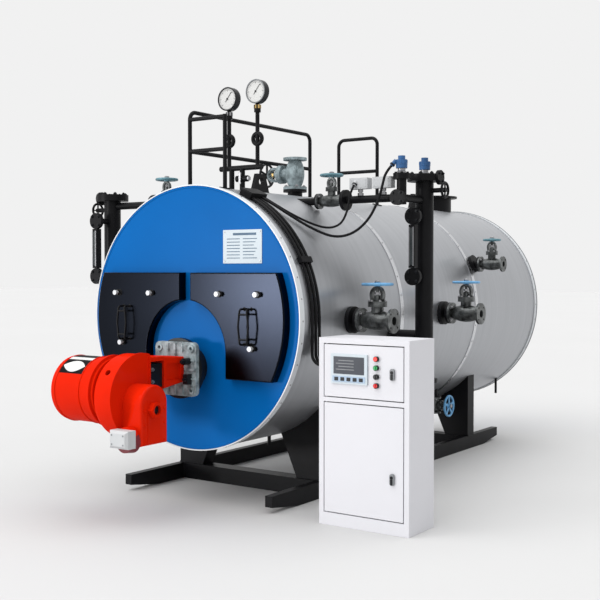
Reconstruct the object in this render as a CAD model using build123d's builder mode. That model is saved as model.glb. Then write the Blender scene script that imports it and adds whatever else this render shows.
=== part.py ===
from build123d import *
import math
import os

os.makedirs("parts", exist_ok=True)

# Frame: the origin is on the ground under the boiler, at the middle of the front cross beam.
# +Z is up, +Y runs along the barrel to its rear end, +X is to the right seen from the burner.
# A station is a distance along the barrel from its front face.

# Barrel
axis_height = 1130.0
barrel_radius = 800.0
jacket_thickness = 60.0
sheet_width = 1156.0
sheet_count = 3
end_plate_thickness = 36.0
front_reach = 600.0
seat_gap = 0.3

# Trim around the ends and seams
rim_thickness = 7.0
rim_width = 46.0
rim_overhang = 4.0
band_thickness = 3.0
band_width = 44.0
rear_cover_margin = 330.0
rear_cover_thickness = 42.0
rear_cover_chamfer = 14.0

# Smoke box doors
door_thickness = 60.0
door_margin = 65.0
door_top = 275.0
door_bottom = 352.0
door_gap_half = 41.0
arch_radius = 310.0
arch_centre_drop = 200.0
door_edge_round = 8.0
knob_radius = 15.0
knob_neck_radius = 9.0
knob_length = 34.0
knob_head = 16.0
knob_rise = 149.0
knob_drop = 163.0
knob_inner_x = 270.0
knob_edge = 167.0
handle_inset = 42.0
handle_drop = 38.0
handle_height = 205.0
handle_reach = 46.0
handle_half_width = 25.0
handle_bow = 12.0
handle_bar = 6.0
handle_bend = 16.0
rung_inset = 30.0

# Plate for the maker's data, left blank
plate_width = 285.0
plate_height = 197.0
plate_thickness = 4.0
plate_inset = 404.0
plate_gap = 54.0

# Burner
burner_drop = 298.0
port_radius = 182.0
port_bore = 112.0
port_depth = 116.0
port_ring_depth = 30.0
port_neck_radius = 126.0
flange_side = 320.0
flange_thickness = 28.0
flange_round = 34.0
flange_hole = 11.0
flange_hole_inset = 36.0
flange_pad_radius = 22.0
flange_pad_rise = 8.0
head_length = 168.0
head_width = 132.0
head_height = 150.0
head_pocket = 8.0
head_rim = 26.0
head_round = 10.0
cover_plate = 24.0
sleeve_inset = 14.0
fan_reach = 500.0
fan_drop = 425.0
fan_radius = 240.0
fan_left = -95.0
fan_right = 60.0
fan_shoulder = 42.0
fan_bead = 7.0
fan_bead_width = 14.0
outlet_shift = 70.0
outlet_low = 25.0
outlet_high = 215.0
outlet_flange = 12.0
outlet_overhang = 8.0
sight_hole_radius = 18.0
sight_hole_angle = 38.0
sight_hole_depth = 60.0
sight_hole_inset = 40.0
collar_radius = 206.0
collar_length = 34.0
motor_radius = 190.0
motor_length = 315.0
motor_forward = 40.0
motor_rise = 25.0
motor_round = 26.0
airbox_depth = 140.0
airbox_width = 214.0
airbox_low = 253.0
airbox_high = 79.0
airbox_reach = 650.0
airbox_round = 14.0
boss_size = 46.0
boss_bore = 27.0
boss_rise = 34.0
boss_drop = 30.0
boss_back = 11.0
damper_radius = 61.7
damper_x = 62.0
damper_rise = 48.0
damper_reach = 40.0
servo_width = 136.0
servo_height = 98.0
servo_depth = 72.0
servo_chamfer = 14.0

# Base
skid_spacing = 1121.0
skid_width = 50.0
skid_height = 104.0
skid_front = 30.0
skid_from_rear = 310.0
skid_ramp = 260.0
skid_nose = 38.0
beam_width = 110.0
beam_from_rear = 844.0
leg_inner_low = 387.0
leg_inner_high = 268.0
leg_depth = 110.0
leg_shift = 20.0

# Control cabinet
cabinet_clear = 120.0
cabinet_station = 20.0
cabinet_width = 570.0
cabinet_depth = 285.0
cabinet_height = 1045.0
cabinet_wall = 3.0
cabinet_plinth = 40.0
stile = 30.0
split_height = 703.0
split_rail = 24.0
leaf_thickness = 22.0
leaf_gap = 6.0
leaf_wall = 3.0
pivot_radius = 4.0
pivot_inset = 9.0
pivot_grip = 12.0
pivot_clearance = 0.3
display_width = 232.0
display_height = 164.0
display_depth = 10.0
display_inset = 84.0
display_drop = 167.0
button_inset = 372.0
button_drops = (104.0, 152.0, 200.0, 248.0)
button_radius = 15.0
button_depth = 16.0
lock_inset = 470.0
lock_width = 26.0
lock_height = 64.0
lock_depth = 12.0
upper_lock_drop = 183.0
lower_lock_rise = 300.0

# Valves: sizes of each kind, then the shape that they share
side_valve_run = 230.0
side_flange_radius = 74.0
side_stem_rise = 205.0
side_wheel_radius = 97.0
small_valve_run = 190.0
small_flange_radius = 58.0
small_stem_rise = 170.0
small_wheel_radius = 68.0
level_valve_run = 190.0
level_flange_radius = 50.0
level_stem_rise = 150.0
level_wheel_radius = 76.0
steam_valve_run = 220.0
steam_flange_radius = 82.0
steam_stem_rise = 230.0
steam_wheel_radius = 88.0
drain_valve_run = 124.0
drain_flange_radius = 50.0
drain_stem_rise = 110.0
drain_wheel_radius = 84.0
flange_share = 0.22
neck_share = 0.5
bulb_share = 0.8
bore_share = 0.36
bonnet_share = 0.78
bolt_circle_share = 0.77
yoke_share = 0.62
yoke_band_share = 0.2
gland_share = 0.26
bonnet_height_share = 0.48
flange_hole_radius = 7.0
stem_radius = 9.0
stem_proud = 6.0
hub_height = 24.0
hub_radius = 19.0
rim_section = 8.5
spoke_count = 5
spoke_width = 15.0
spoke_thickness = 9.0
wheel_clearance = 0.3

# Where the valves stand: distances from the front face or from the nearest seam
front_side_station = 556.0
rear_side_after_seam = 588.0
upper_side_after_seam = 92.0
side_valve_drop = 12.0
upper_side_angle = 24.76
right_level_before_column = 300.0
left_level_station = 380.0
level_valve_clear = 18.574
steam_before_seam = 87.0
drain_before_beam = 416.0
drain_inset = 314.0

# Nozzles between the barrel and the valves
pad_radius = 82.0
pad_rise = 26.0
small_pad_radius = 66.0
side_nozzle_length = 68.0
side_nozzle_radius = 30.0
small_nozzle_length = 60.0
level_nozzle_radius = 24.0
steam_nozzle_length = 48.0
steam_nozzle_radius = 51.0
drain_nozzle_length = 46.0
drain_nozzle_radius = 24.0

# Water columns, level lines, electrodes and pressure switches
level_drop = 70.0
level_line_length = 410.0
column_before_seam = 147.0
column_radius = 57.0
column_low = 410.0
column_high = 70.0
left_column_drop = 82.0
column_cap_radius = 110.0
column_cap_height = 44.0
column_foot_radius = 86.0
column_foot_height = 24.0
link_radius = 38.0
link_drop = 130.0
gauge_drop = 105.0
gauge_low = 249.0
gauge_offset = 150.0
gauge_arm_radius = 19.0
cock_radius = 54.0
cock_depth = 26.0
glass_half = 21.0
branch_radius = 20.0
branch_reach = 116.0
branch_flange_radius = 46.0
branch_flange_depth = 20.0
test_cock_radius = 15.0
test_cock_reach = 150.0
test_cock_drop = 80.0
test_wheel_radius = 46.0
test_wheel_section = 8.0
line_radius = 24.0
line_flange_radius = 66.0
line_flange_depth = 22.0
riser_radius = 30.0
riser_low = 40.0
riser_high = 130.0
riser_flange_radius = 52.0
riser_flange_depth = 36.0
tee_reach = 52.0
tee_flange_radius = 48.0
electrode_stem_radius = 20.0
electrode_stem = 30.0
electrode_radius = 35.0
electrode_height = 52.0
electrode_tip_radius = 22.0
electrode_tip = 24.0
switch_insets = (120.0, 285.0)
switch_stem_radius = 11.0
switch_stem = 40.0
switch_width = 132.0
switch_depth = 62.0
switch_height = 68.0
switch_round = 7.0

# Pressure gauges on their cross pipe
gauge_station = 400.0
manifold_rise = 136.0
manifold_left = -90.0
manifold_length = 330.0
manifold_radius = 17.0
stub_spots = (0.0, 85.0)
stub_cock_radius = 20.0
stub_cock_length = 88.0
gauge_spots = ((-20.0, 441.0), (205.0, 468.0))
gauge_pipe_radius = 13.0
gauge_nut_radius = 21.0
gauge_nut_height = 46.0
siphon_radius = 34.0
siphon_rise = 175.0
gauge_radius = 75.0
gauge_depth = 46.0
gauge_bezel = 7.0
gauge_recess = 5.0

# Lifting lugs
lug_width = 180.0
lug_top_width = 90.0
lug_height = 125.0
lug_thickness = 25.0
lug_eye_radius = 25.0
lug_eye_rise = 75.0
lug_after_gauges = 298.0
lug_before_flue = 350.0

# Flue outlet
flue_radius = 150.0
flue_wall = 6.0
flue_rise = 120.0
flue_from_rear = 340.0
flue_flange_radius = 200.0
flue_flange_thickness = 16.0
flue_bolt_circle = 360.0
flue_bolt_count = 8
flue_bolt_hole = 9.0

# Guard rails
rail_radius = 13.0
rail_rise = 480.0
rail_middle_rise = 232.0
rail_left = 150.0
rail_right = 130.0
rail_front_station = 169.0
rail_after_seam = 320.0
hoop_before_seam = 440.0
hoop_right = 190.0
rail_bend = 50.0

# Drain pipes: offset, distance from the nearer end, length and radius
front_drain_x = 0.0
front_drain_station = 800.0
front_drain_length = 86.0
front_drain_radius = 12.0
rear_drain_inset = 324.0
rear_drain_from_rear = 90.0
rear_drain_length = 127.0
rear_drain_radius = 10.0

# Conduits and cables
conduit_radius = 9.0
conduit_lift = 2.0
conduit_first = 113.0
conduit_pitch = 37.0
conduit_count = 3
conduit_start = 62.0
conduit_bend = 60.0
conduit_entry = 880.0
saddle_height = 44.0
saddle_front = 92.0
saddle_rear = 246.0
saddle_sweep = 6.0
clip_angle = 24.0
clip_sweep = 2.5
clip_height = 30.0
cable_diameter = 16.0
thin_cable_diameter = 14.0
cable_gland_radius = 13.0
cable_gland_length = 42.0
electrode_gland_offset = (-50.0, -36.0, 46.0)
electrode_gland_heading = (30.0, 24.0, 44.0)
switch_gland_offset = (-22.0, -45.0, 20.7)
switch_gland_heading = (4.0, 32.0, 40.0)
cable_bend_share = 0.45
level_cable_route = (
    (385.9056, 206.0, 725.7829),
    (456.5414, 206.0, 688.2252),
    (545.0, 275.0, 615.0),
    (632.0, 380.0, 538.0),
    (722.0, 485.0, 485.0),
    (808.0, 565.0, 510.0),
    (880.0, 625.0, 595.0),
    (925.0, 658.0, 705.0),
    (948.0, 676.0, 810.0),
    (960.0, 685.0, 880.0),
    (990.0, 709.0, 924.0),
)
switch_cable_route = (
    (385.9056, 229.0, 725.7829),
    (452.1267, 229.0, 690.5725),
    (535.0, 290.0, 628.0),
    (612.0, 385.0, 572.0),
    (668.0, 490.0, 542.0),
    (705.0, 575.0, 565.0),
    (718.0, 625.0, 630.0),
    (722.0, 652.0, 710.0),
    (724.0, 668.0, 775.0),
    (728.0, 700.0, 815.0),
)


def station(distance):
    return distance - front_reach


barrel_length = sheet_count * sheet_width + 2 * end_plate_thickness
front_face = station(0)
rear_face = front_face + barrel_length
jacket_start = front_face + end_plate_thickness
first_seam = jacket_start + sheet_width
last_seam = jacket_start + (sheet_count - 1) * sheet_width
crown = axis_height + barrel_radius
front_plane = Plane.XZ.offset(-front_face)
along_x = (1, 0, 0)
up = (0, 0, 1)
base_up = (Align.CENTER, Align.CENTER, Align.MIN)


def barrel_edge(height):
    """Half width of the barrel at a height above the ground."""
    return math.sqrt(barrel_radius**2 - (height - axis_height) ** 2)


def barrel_top(x):
    """Height of the barrel's upper skin at an offset from its axis plane."""
    return axis_height + math.sqrt(barrel_radius**2 - x**2)


def barrel_bottom(x):
    """Height of the barrel's lower skin at an offset from its axis plane."""
    return axis_height - math.sqrt(barrel_radius**2 - x**2)


def across(y):
    """Plane square to the barrel at a place along it, seen from the front."""
    return Plane.XZ.offset(-y)


def cut_to_barrel():
    """Takes away what would stand inside the barrel's skin."""
    with Locations((0, (front_face + rear_face) / 2, axis_height)):
        Cylinder(barrel_radius + seat_gap, 2 * barrel_length, rotation=(90, 0, 0), mode=Mode.SUBTRACT)


def keep(piece, name):
    piece.label = name
    export_step(piece, f"parts/{name}.step")


# Barrel jacket: rolled sheets over the insulation
flue_y = rear_face - flue_from_rear
sheet_names = ("jacket_front", "jacket_middle", "jacket_rear")
for index, sheet_name in enumerate(sheet_names):
    with BuildPart() as jacket:
        with BuildSketch(across(jacket_start + (index + 1) * sheet_width)):
            with Locations((0, axis_height)):
                Circle(barrel_radius)
                Circle(barrel_radius - jacket_thickness, mode=Mode.SUBTRACT)
        extrude(amount=sheet_width)
        if index == sheet_count - 1:
            with Locations((0, flue_y, axis_height)):
                Cylinder(flue_radius - flue_wall, 2 * barrel_radius, align=base_up, mode=Mode.SUBTRACT)
    keep(jacket.part, sheet_name)

# Bands over the seams
with BuildPart() as seam_bands:
    for index in range(1, sheet_count):
        with BuildSketch(across(jacket_start + index * sheet_width + band_width / 2)):
            with Locations((0, axis_height)):
                Circle(barrel_radius + seat_gap + band_thickness)
                Circle(barrel_radius + seat_gap, mode=Mode.SUBTRACT)
        extrude(amount=band_width)
keep(seam_bands.part, "seam_bands")

# Pale rings that close the jacket at both ends
with BuildPart() as end_rims:
    for edge, inward in ((front_face - rim_overhang, -1), (rear_face + rim_overhang, 1)):
        with BuildSketch(across(edge)):
            with Locations((0, axis_height)):
                Circle(barrel_radius + seat_gap + rim_thickness)
                Circle(barrel_radius + seat_gap, mode=Mode.SUBTRACT)
        extrude(amount=inward * rim_width)
keep(end_rims.part, "end_rims")

# Front plate with the burner opening
burner_height = axis_height - burner_drop
with BuildPart() as front_plate:
    with BuildSketch(front_plane):
        with Locations((0, axis_height)):
            Circle(barrel_radius)
        with Locations((0, burner_height)):
            Circle(port_bore, mode=Mode.SUBTRACT)
    extrude(amount=-end_plate_thickness)
keep(front_plate.part, "front_plate")

# Rear plate and its access cover
with BuildPart() as rear_plate:
    with BuildSketch(across(rear_face)):
        with Locations((0, axis_height)):
            Circle(barrel_radius)
    extrude(amount=end_plate_thickness)
keep(rear_plate.part, "rear_plate")

with BuildPart() as rear_cover:
    with BuildSketch(across(rear_face)):
        with Locations((0, axis_height)):
            Circle(barrel_radius - rear_cover_margin)
    extrude(amount=-rear_cover_thickness)
    chamfer(rear_cover.edges().sort_by(Axis.Y)[-1], rear_cover_chamfer)
keep(rear_cover.part, "rear_cover")

# Smoke box doors: covers with an arch around the burner
door_radius = barrel_radius - door_margin
door_middle = axis_height + (door_top - door_bottom) / 2
for side_name, side in (("left", -1), ("right", 1)):
    with BuildPart() as smoke_door:
        with BuildSketch(front_plane):
            with Locations((0, axis_height)):
                Circle(door_radius)
            with Locations((side * (door_gap_half + barrel_radius / 2), door_middle)):
                Rectangle(barrel_radius, door_top + door_bottom, mode=Mode.INTERSECT)
            with Locations((0, axis_height - arch_centre_drop)):
                Circle(arch_radius, mode=Mode.SUBTRACT)
            with Locations((0, axis_height - arch_centre_drop - arch_radius)):
                Rectangle(2 * arch_radius, 2 * arch_radius, mode=Mode.SUBTRACT)
        extrude(amount=door_thickness)
        fillet(smoke_door.faces().sort_by(Axis.Y)[0].edges(), door_edge_round)
    keep(smoke_door.part, f"{side_name}_smoke_door")

# Knobs that hold the doors shut
door_face = front_face - door_thickness
upper_edge = math.sqrt(door_radius**2 - knob_rise**2)
lower_edge = math.sqrt(door_radius**2 - knob_drop**2)
knob_spots = (
    (knob_inner_x, knob_rise),
    (upper_edge - knob_edge, knob_rise),
    ((arch_radius + lower_edge) / 2, -knob_drop),
)
with BuildPart() as door_knobs:
    for side in (-1, 1):
        for x, rise in knob_spots:
            with BuildSketch(across(door_face)):
                with Locations((side * x, axis_height + rise)):
                    Circle(knob_neck_radius)
            extrude(amount=knob_length)
            with BuildSketch(across(door_face - knob_length + knob_head)):
                with Locations((side * x, axis_height + rise)):
                    Circle(knob_radius)
            extrude(amount=knob_head)
keep(door_knobs.part, "door_knobs")

# Grips on the doors: two bowed bars with a rung near each end
handle_x = (arch_radius + door_radius) / 2 - handle_inset
handle_middle = axis_height - handle_drop
with BuildPart() as door_handles:
    for side in (-1, 1):
        for bar_side in (-1, 1):
            x = side * handle_x + bar_side * handle_half_width
            foot = (x, door_face, handle_middle - handle_height / 2)
            with BuildLine():
                FilletPolyline(
                    foot,
                    (x, door_face - handle_reach, handle_middle - handle_height / 2),
                    (x + bar_side * handle_bow, door_face - handle_reach, handle_middle),
                    (x, door_face - handle_reach, handle_middle + handle_height / 2),
                    (x, door_face, handle_middle + handle_height / 2),
                    radius=handle_bend,
                )
            with BuildSketch(Plane(origin=foot, z_dir=(0, -1, 0))):
                Circle(handle_bar)
            sweep()
        for end in (-1, 1):
            height = handle_middle + end * (handle_height / 2 - rung_inset)
            with Locations((side * handle_x, door_face - handle_reach, height)):
                Cylinder(handle_bar, 2 * handle_half_width, rotation=(0, 90, 0))
keep(door_handles.part, "door_handles")

# Blank data plate above the right door
plate_rise = door_top + plate_gap + plate_height / 2
with BuildPart() as data_plate:
    with BuildSketch(front_plane):
        with Locations((barrel_radius - plate_inset, axis_height + plate_rise)):
            Rectangle(plate_width, plate_height)
    extrude(amount=plate_thickness)
keep(data_plate.part, "data_plate")

# Burner flange: a cast plate with bolt pads, its holes and the blast tube's bore
flange_back = front_face - port_depth
flange_face = flange_back - flange_thickness
hole_spacing = flange_side - 2 * flange_hole_inset
with BuildPart() as burner_flange:
    with BuildSketch(across(flange_back)):
        with Locations((0, burner_height)):
            RectangleRounded(flange_side, flange_side, flange_round)
    extrude(amount=flange_thickness)
    with BuildSketch(across(flange_face)):
        with Locations((0, burner_height)):
            with GridLocations(hole_spacing, hole_spacing, 2, 2):
                Circle(flange_pad_radius)
    extrude(amount=flange_pad_rise)
    with BuildSketch(across(flange_back)):
        with Locations((0, burner_height)):
            with GridLocations(hole_spacing, hole_spacing, 2, 2):
                Circle(flange_hole)
    extrude(amount=2 * flange_thickness, mode=Mode.SUBTRACT)
keep(burner_flange.part, "burner_flange")

# Fan housing: drum with a rounded shoulder and a rim bead, cut flat at the outlet and flanged there
fan_height = axis_height - fan_drop
fan_middle = station(-fan_reach)
fan_width = fan_right - fan_left
fan_centre_x = (fan_left + fan_right) / 2
outlet_face = fan_middle + outlet_shift
duct_low = fan_height + outlet_low
duct_high = fan_height + outlet_high
duct_middle = (duct_low + duct_high) / 2
duct_height = duct_high - duct_low
with BuildPart() as fan_housing:
    with BuildSketch(Plane.YZ.offset(fan_left)):
        with Locations((fan_middle, fan_height)):
            Circle(fan_radius)
    extrude(amount=fan_width)
    fillet(fan_housing.faces().sort_by(Axis.X)[0].edges(), fan_shoulder)
    with Locations((fan_right - fan_bead_width / 2, fan_middle, fan_height)):
        Cylinder(fan_radius + fan_bead, fan_bead_width, rotation=(0, 90, 0))
    with Locations((fan_centre_x, outlet_face, fan_height)):
        Box(2 * fan_width, 2 * fan_radius, 4 * fan_radius, align=(Align.CENTER, Align.MIN, Align.CENTER),
            mode=Mode.SUBTRACT)
    with Locations((fan_left, outlet_face, duct_middle)):
        Box(fan_width + outlet_overhang, outlet_flange, duct_height + 2 * outlet_overhang,
            align=(Align.MIN, Align.MAX, Align.CENTER))
    hole_place = Plane(
        origin=(fan_left + sight_hole_inset + fan_shoulder, fan_middle, fan_height),
        z_dir=(0, -math.cos(math.radians(sight_hole_angle)), math.sin(math.radians(sight_hole_angle))),
    )
    with BuildSketch(hole_place.offset(fan_radius - sight_hole_depth)):
        Circle(sight_hole_radius)
    extrude(amount=2 * sight_hole_depth, mode=Mode.SUBTRACT)
keep(fan_housing.part, "fan_housing")

# Burner head: tapered casting between the flange and the fan outlet, with a cover over the gap
head_start = flange_face - head_length
duct_inner_width = fan_width - 2 * sleeve_inset
duct_inner_height = duct_height - 2 * sleeve_inset
with BuildPart() as burner_head:
    with BuildSketch(across(flange_face)):
        with Locations((0, burner_height)):
            RectangleRounded(head_width, head_height, head_round)
    with BuildSketch(across(head_start)):
        with Locations((fan_centre_x, duct_middle)):
            RectangleRounded(fan_width, duct_height, head_round)
    loft()
    with Locations((fan_right, (flange_face + head_start) / 2, duct_middle)):
        Box(2 * head_pocket, head_length - 2 * head_rim, head_height - 2 * head_rim, mode=Mode.SUBTRACT)
    with Locations((fan_centre_x, (outlet_face + head_start) / 2, duct_high - cover_plate / 2)):
        Box(fan_width, head_start - outlet_face, cover_plate)
keep(burner_head.part, "burner_head")

# Port neck with its ring on the front plate, and the dark sleeve in the gap before the head
with BuildPart() as burner_port:
    with BuildSketch(front_plane):
        with Locations((0, burner_height)):
            Circle(port_neck_radius)
            Circle(port_bore, mode=Mode.SUBTRACT)
    extrude(amount=port_depth)
    with BuildSketch(across(flange_back + port_ring_depth)):
        with Locations((0, burner_height)):
            Circle(port_radius)
            Circle(port_bore, mode=Mode.SUBTRACT)
    extrude(amount=port_ring_depth)
    with Locations((fan_centre_x, (outlet_face + head_start) / 2, duct_middle - cover_plate / 2)):
        Box(duct_inner_width, head_start - outlet_face, duct_inner_height - cover_plate)
keep(burner_port.part, "burner_port")

# Motor beside the drum, with a collar near its mounting face
motor_middle = fan_middle - motor_forward
motor_height = fan_height + motor_rise
with BuildPart() as burner_motor:
    with BuildSketch(Plane.YZ.offset(fan_left)):
        with Locations((motor_middle, motor_height)):
            Circle(motor_radius)
    extrude(amount=-collar_length - motor_length)
    with BuildSketch(Plane.YZ.offset(fan_left - collar_length / 2)):
        with Locations((motor_middle, motor_height)):
            Circle(collar_radius)
    extrude(amount=-collar_length / 2)
    fillet(burner_motor.faces().sort_by(Axis.X)[0].edges(), motor_round)
keep(burner_motor.part, "burner_motor")

# Air box with an arched top, a hexagonal boss and the round damper housing below
airbox_front = station(-airbox_reach)
airbox_middle = airbox_front + airbox_width / 2
airbox_bottom = fan_height - airbox_low
airbox_spring = fan_height + airbox_high - airbox_width / 2
damper_height = airbox_bottom + damper_rise
with BuildPart() as air_box:
    with BuildSketch(Plane.YZ.offset(fan_right)):
        with Locations((airbox_middle, airbox_spring)):
            Circle(airbox_width / 2)
        with Locations((airbox_middle, (airbox_bottom + airbox_spring) / 2)):
            Rectangle(airbox_width, airbox_spring - airbox_bottom)
    extrude(amount=airbox_depth)
    fillet(air_box.faces().sort_by(Axis.X)[-1].edges(), airbox_round)
    with BuildSketch(Plane.YZ.offset(fan_right + airbox_depth)):
        with Locations((airbox_middle - boss_back, airbox_spring - boss_drop)):
            RegularPolygon(boss_size, 6)
            Circle(boss_bore, mode=Mode.SUBTRACT)
    extrude(amount=boss_rise)
    with Locations((fan_right + damper_x + seat_gap, airbox_front, damper_height)):
        Cylinder(damper_radius, 2 * damper_reach, rotation=(90, 0, 0))
    with Locations((fan_right, airbox_front, damper_height)):
        Box(2 * fan_radius, 2 * airbox_width, 2 * fan_radius, align=(Align.MAX, Align.CENTER, Align.CENTER),
            mode=Mode.SUBTRACT)
keep(air_box.part, "air_box")

servo_face = airbox_front - damper_reach
servo_x = fan_right + seat_gap + servo_width / 2
with BuildPart() as damper_drive:
    with BuildSketch(across(servo_face)):
        with Locations((servo_x, damper_height)):
            Rectangle(servo_width, servo_height)
    extrude(amount=servo_depth)
    chamfer(damper_drive.faces().sort_by(Axis.Y)[0].edges(), servo_chamfer)
keep(damper_drive.part, "damper_drive")

# Base: sledge skids, cross beams and saddle legs cut to the barrel
skid_end = rear_face - skid_from_rear
with BuildPart() as skids:
    for side in (-1, 1):
        with BuildSketch(Plane.YZ.offset(side * skid_spacing / 2 - skid_width / 2)):
            with BuildLine():
                Polyline(
                    (station(skid_front), skid_height),
                    (station(skid_front), skid_nose),
                    (station(skid_front + skid_ramp), 0),
                    (skid_end - skid_ramp, 0),
                    (skid_end, skid_nose),
                    (skid_end, skid_height),
                    close=True,
                )
            make_face()
        extrude(amount=skid_width)
keep(skids.part, "skids")

rear_beam_y = rear_face - beam_from_rear
beam_places = (0, rear_beam_y)
with BuildPart() as cross_beams:
    for beam_y in beam_places:
        with Locations((0, beam_y, skid_height / 2)):
            Box(skid_spacing - skid_width, beam_width, skid_height)
keep(cross_beams.part, "cross_beams")

leg_outer = (skid_spacing + skid_width) / 2
with BuildPart() as saddle_legs:
    for beam_y in beam_places:
        for side in (-1, 1):
            with BuildSketch(across(beam_y + leg_shift + leg_depth / 2)):
                with BuildLine():
                    Polyline(
                        (side * leg_outer, skid_height),
                        (side * leg_outer, axis_height),
                        (side * leg_inner_high, axis_height),
                        (side * leg_inner_high, barrel_bottom(leg_inner_high)),
                        (side * leg_inner_low, skid_height),
                        close=True,
                    )
                make_face()
                with Locations((0, axis_height)):
                    Circle(barrel_radius + seat_gap, mode=Mode.SUBTRACT)
            extrude(amount=leg_depth)
keep(saddle_legs.part, "saddle_legs")


def globe_valve(place, run, flange_radius, stem_rise, outlet):
    """Flanged valve: the run lies along the plane's x axis and the stem along its normal."""
    flange = flange_radius * flange_share
    neck = flange_radius * neck_share
    bulb = flange_radius * bulb_share
    bonnet_height = stem_rise * bonnet_height_share
    yoke_half = (stem_rise - bonnet_height) / 2
    yoke_width = flange_radius * yoke_share
    yoke_band = flange_radius * yoke_band_share
    upright = Plane(origin=place.origin, x_dir=place.x_dir, z_dir=place.y_dir * -1)
    with BuildPart(place) as valve:
        with BuildSketch(upright):
            with BuildLine():
                Polyline(
                    (flange - run / 2, neck),
                    (flange - run / 2, flange_radius),
                    (-run / 2, flange_radius),
                    (-run / 2, 0),
                    (run / 2, 0),
                    (run / 2, flange_radius),
                    (run / 2 - flange, flange_radius),
                    (run / 2 - flange, neck),
                )
                ThreePointArc((run / 2 - flange, neck), (0, bulb), (flange - run / 2, neck))
            make_face()
        revolve(axis=Axis(place.origin, place.x_dir))
        Cylinder(neck, bonnet_height, align=base_up)
        with Locations((0, 0, bonnet_height - flange)):
            Cylinder(flange_radius * bonnet_share, 2 * flange, align=base_up)
        with BuildSketch(upright):
            with Locations((0, bonnet_height + yoke_half)):
                Ellipse(yoke_width, yoke_half)
                Ellipse(yoke_width - yoke_band, yoke_half - yoke_band, mode=Mode.SUBTRACT)
        extrude(amount=flange, both=True)
        with Locations((0, 0, bonnet_height)):
            Cylinder(flange_radius * gland_share, yoke_half, align=base_up)
            Cylinder(stem_radius, stem_rise - bonnet_height + hub_height + stem_proud, align=base_up)
        if outlet:
            with Locations((outlet * run / 2, 0, 0)):
                Cylinder(flange_radius * bore_share, run / 2, rotation=(0, 90, 0), mode=Mode.SUBTRACT)
            with BuildSketch(Plane(origin=place.origin, x_dir=place.y_dir, z_dir=place.x_dir)):
                bolt_radius = flange_radius * bolt_circle_share
                with PolarLocations(bolt_radius, 4, start_angle=45):
                    Circle(flange_hole_radius)
            extrude(amount=outlet * run, mode=Mode.SUBTRACT)
    return valve.part


def handwheel(place, wheel_radius):
    """Spoked wheel: its hub stands on the plane and turns about the plane's normal."""
    ring_radius = wheel_radius - rim_section
    with BuildPart(place) as wheel:
        Cylinder(hub_radius, hub_height, align=base_up)
        with Locations((0, 0, hub_height / 2)):
            Torus(ring_radius, rim_section)
        with PolarLocations(ring_radius / 2, spoke_count):
            with Locations((0, 0, hub_height / 2)):
                Box(ring_radius, spoke_width, spoke_thickness)
        Cylinder(stem_radius + wheel_clearance, 4 * hub_height, mode=Mode.SUBTRACT)
    return wheel.part


# Where each valve stands: the plane of its run and stem, its kind and which end is the free outlet
side_valve_height = axis_height - side_valve_drop
side_valve_x = barrel_edge(side_valve_height) + side_nozzle_length + side_valve_run / 2
front_side_y = station(front_side_station)
rear_side_y = first_seam + rear_side_after_seam
upper_side_y = last_seam + upper_side_after_seam
small_valve_height = axis_height + barrel_radius * math.sin(math.radians(upper_side_angle))
small_valve_x = barrel_edge(small_valve_height) + small_nozzle_length + small_valve_run / 2
level_line_height = crown - level_drop
level_inlet = barrel_edge(level_line_height - level_flange_radius) + level_valve_clear
level_valve_x = level_inlet + level_valve_run / 2
right_column_y = first_seam - column_before_seam
right_level_y = right_column_y - right_level_before_column
left_level_y = station(left_level_station)
steam_y = first_seam - steam_before_seam
steam_valve_height = crown + steam_nozzle_length + steam_valve_run / 2
drain_y = rear_beam_y - drain_before_beam
drain_valve_x = barrel_radius - drain_inset
drain_valve_height = barrel_bottom(drain_valve_x) - drain_nozzle_length - drain_valve_run / 2
side_kind = (side_valve_run, side_flange_radius, side_stem_rise, side_wheel_radius)
small_kind = (small_valve_run, small_flange_radius, small_stem_rise, small_wheel_radius)
level_kind = (level_valve_run, level_flange_radius, level_stem_rise, level_wheel_radius)
steam_kind = (steam_valve_run, steam_flange_radius, steam_stem_rise, steam_wheel_radius)
drain_kind = (drain_valve_run, drain_flange_radius, drain_stem_rise, drain_wheel_radius)
valve_plan = {
    "front_side": (Plane((side_valve_x, front_side_y, side_valve_height), along_x, up), side_kind, 1),
    "rear_side": (Plane((side_valve_x, rear_side_y, side_valve_height), along_x, up), side_kind, 1),
    "upper_side": (Plane((small_valve_x, upper_side_y, small_valve_height), along_x, up), small_kind, 1),
    "right_level": (Plane((level_valve_x, right_level_y, level_line_height), along_x, up), level_kind, 0),
    "left_level": (Plane((-level_valve_x, left_level_y, level_line_height), along_x, up), level_kind, 0),
    "steam": (Plane((0, steam_y, steam_valve_height), up, (-1, 0, 0)), steam_kind, 1),
    "drain": (Plane((drain_valve_x, drain_y, drain_valve_height), up, along_x), drain_kind, -1),
}
for valve_name, (place, kind, outlet) in valve_plan.items():
    run, flange_radius, stem_rise, wheel_radius = kind
    keep(globe_valve(place, run, flange_radius, stem_rise, outlet), f"{valve_name}_valve")
    keep(handwheel(place.offset(stem_rise), wheel_radius), f"{valve_name}_wheel")

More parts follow.
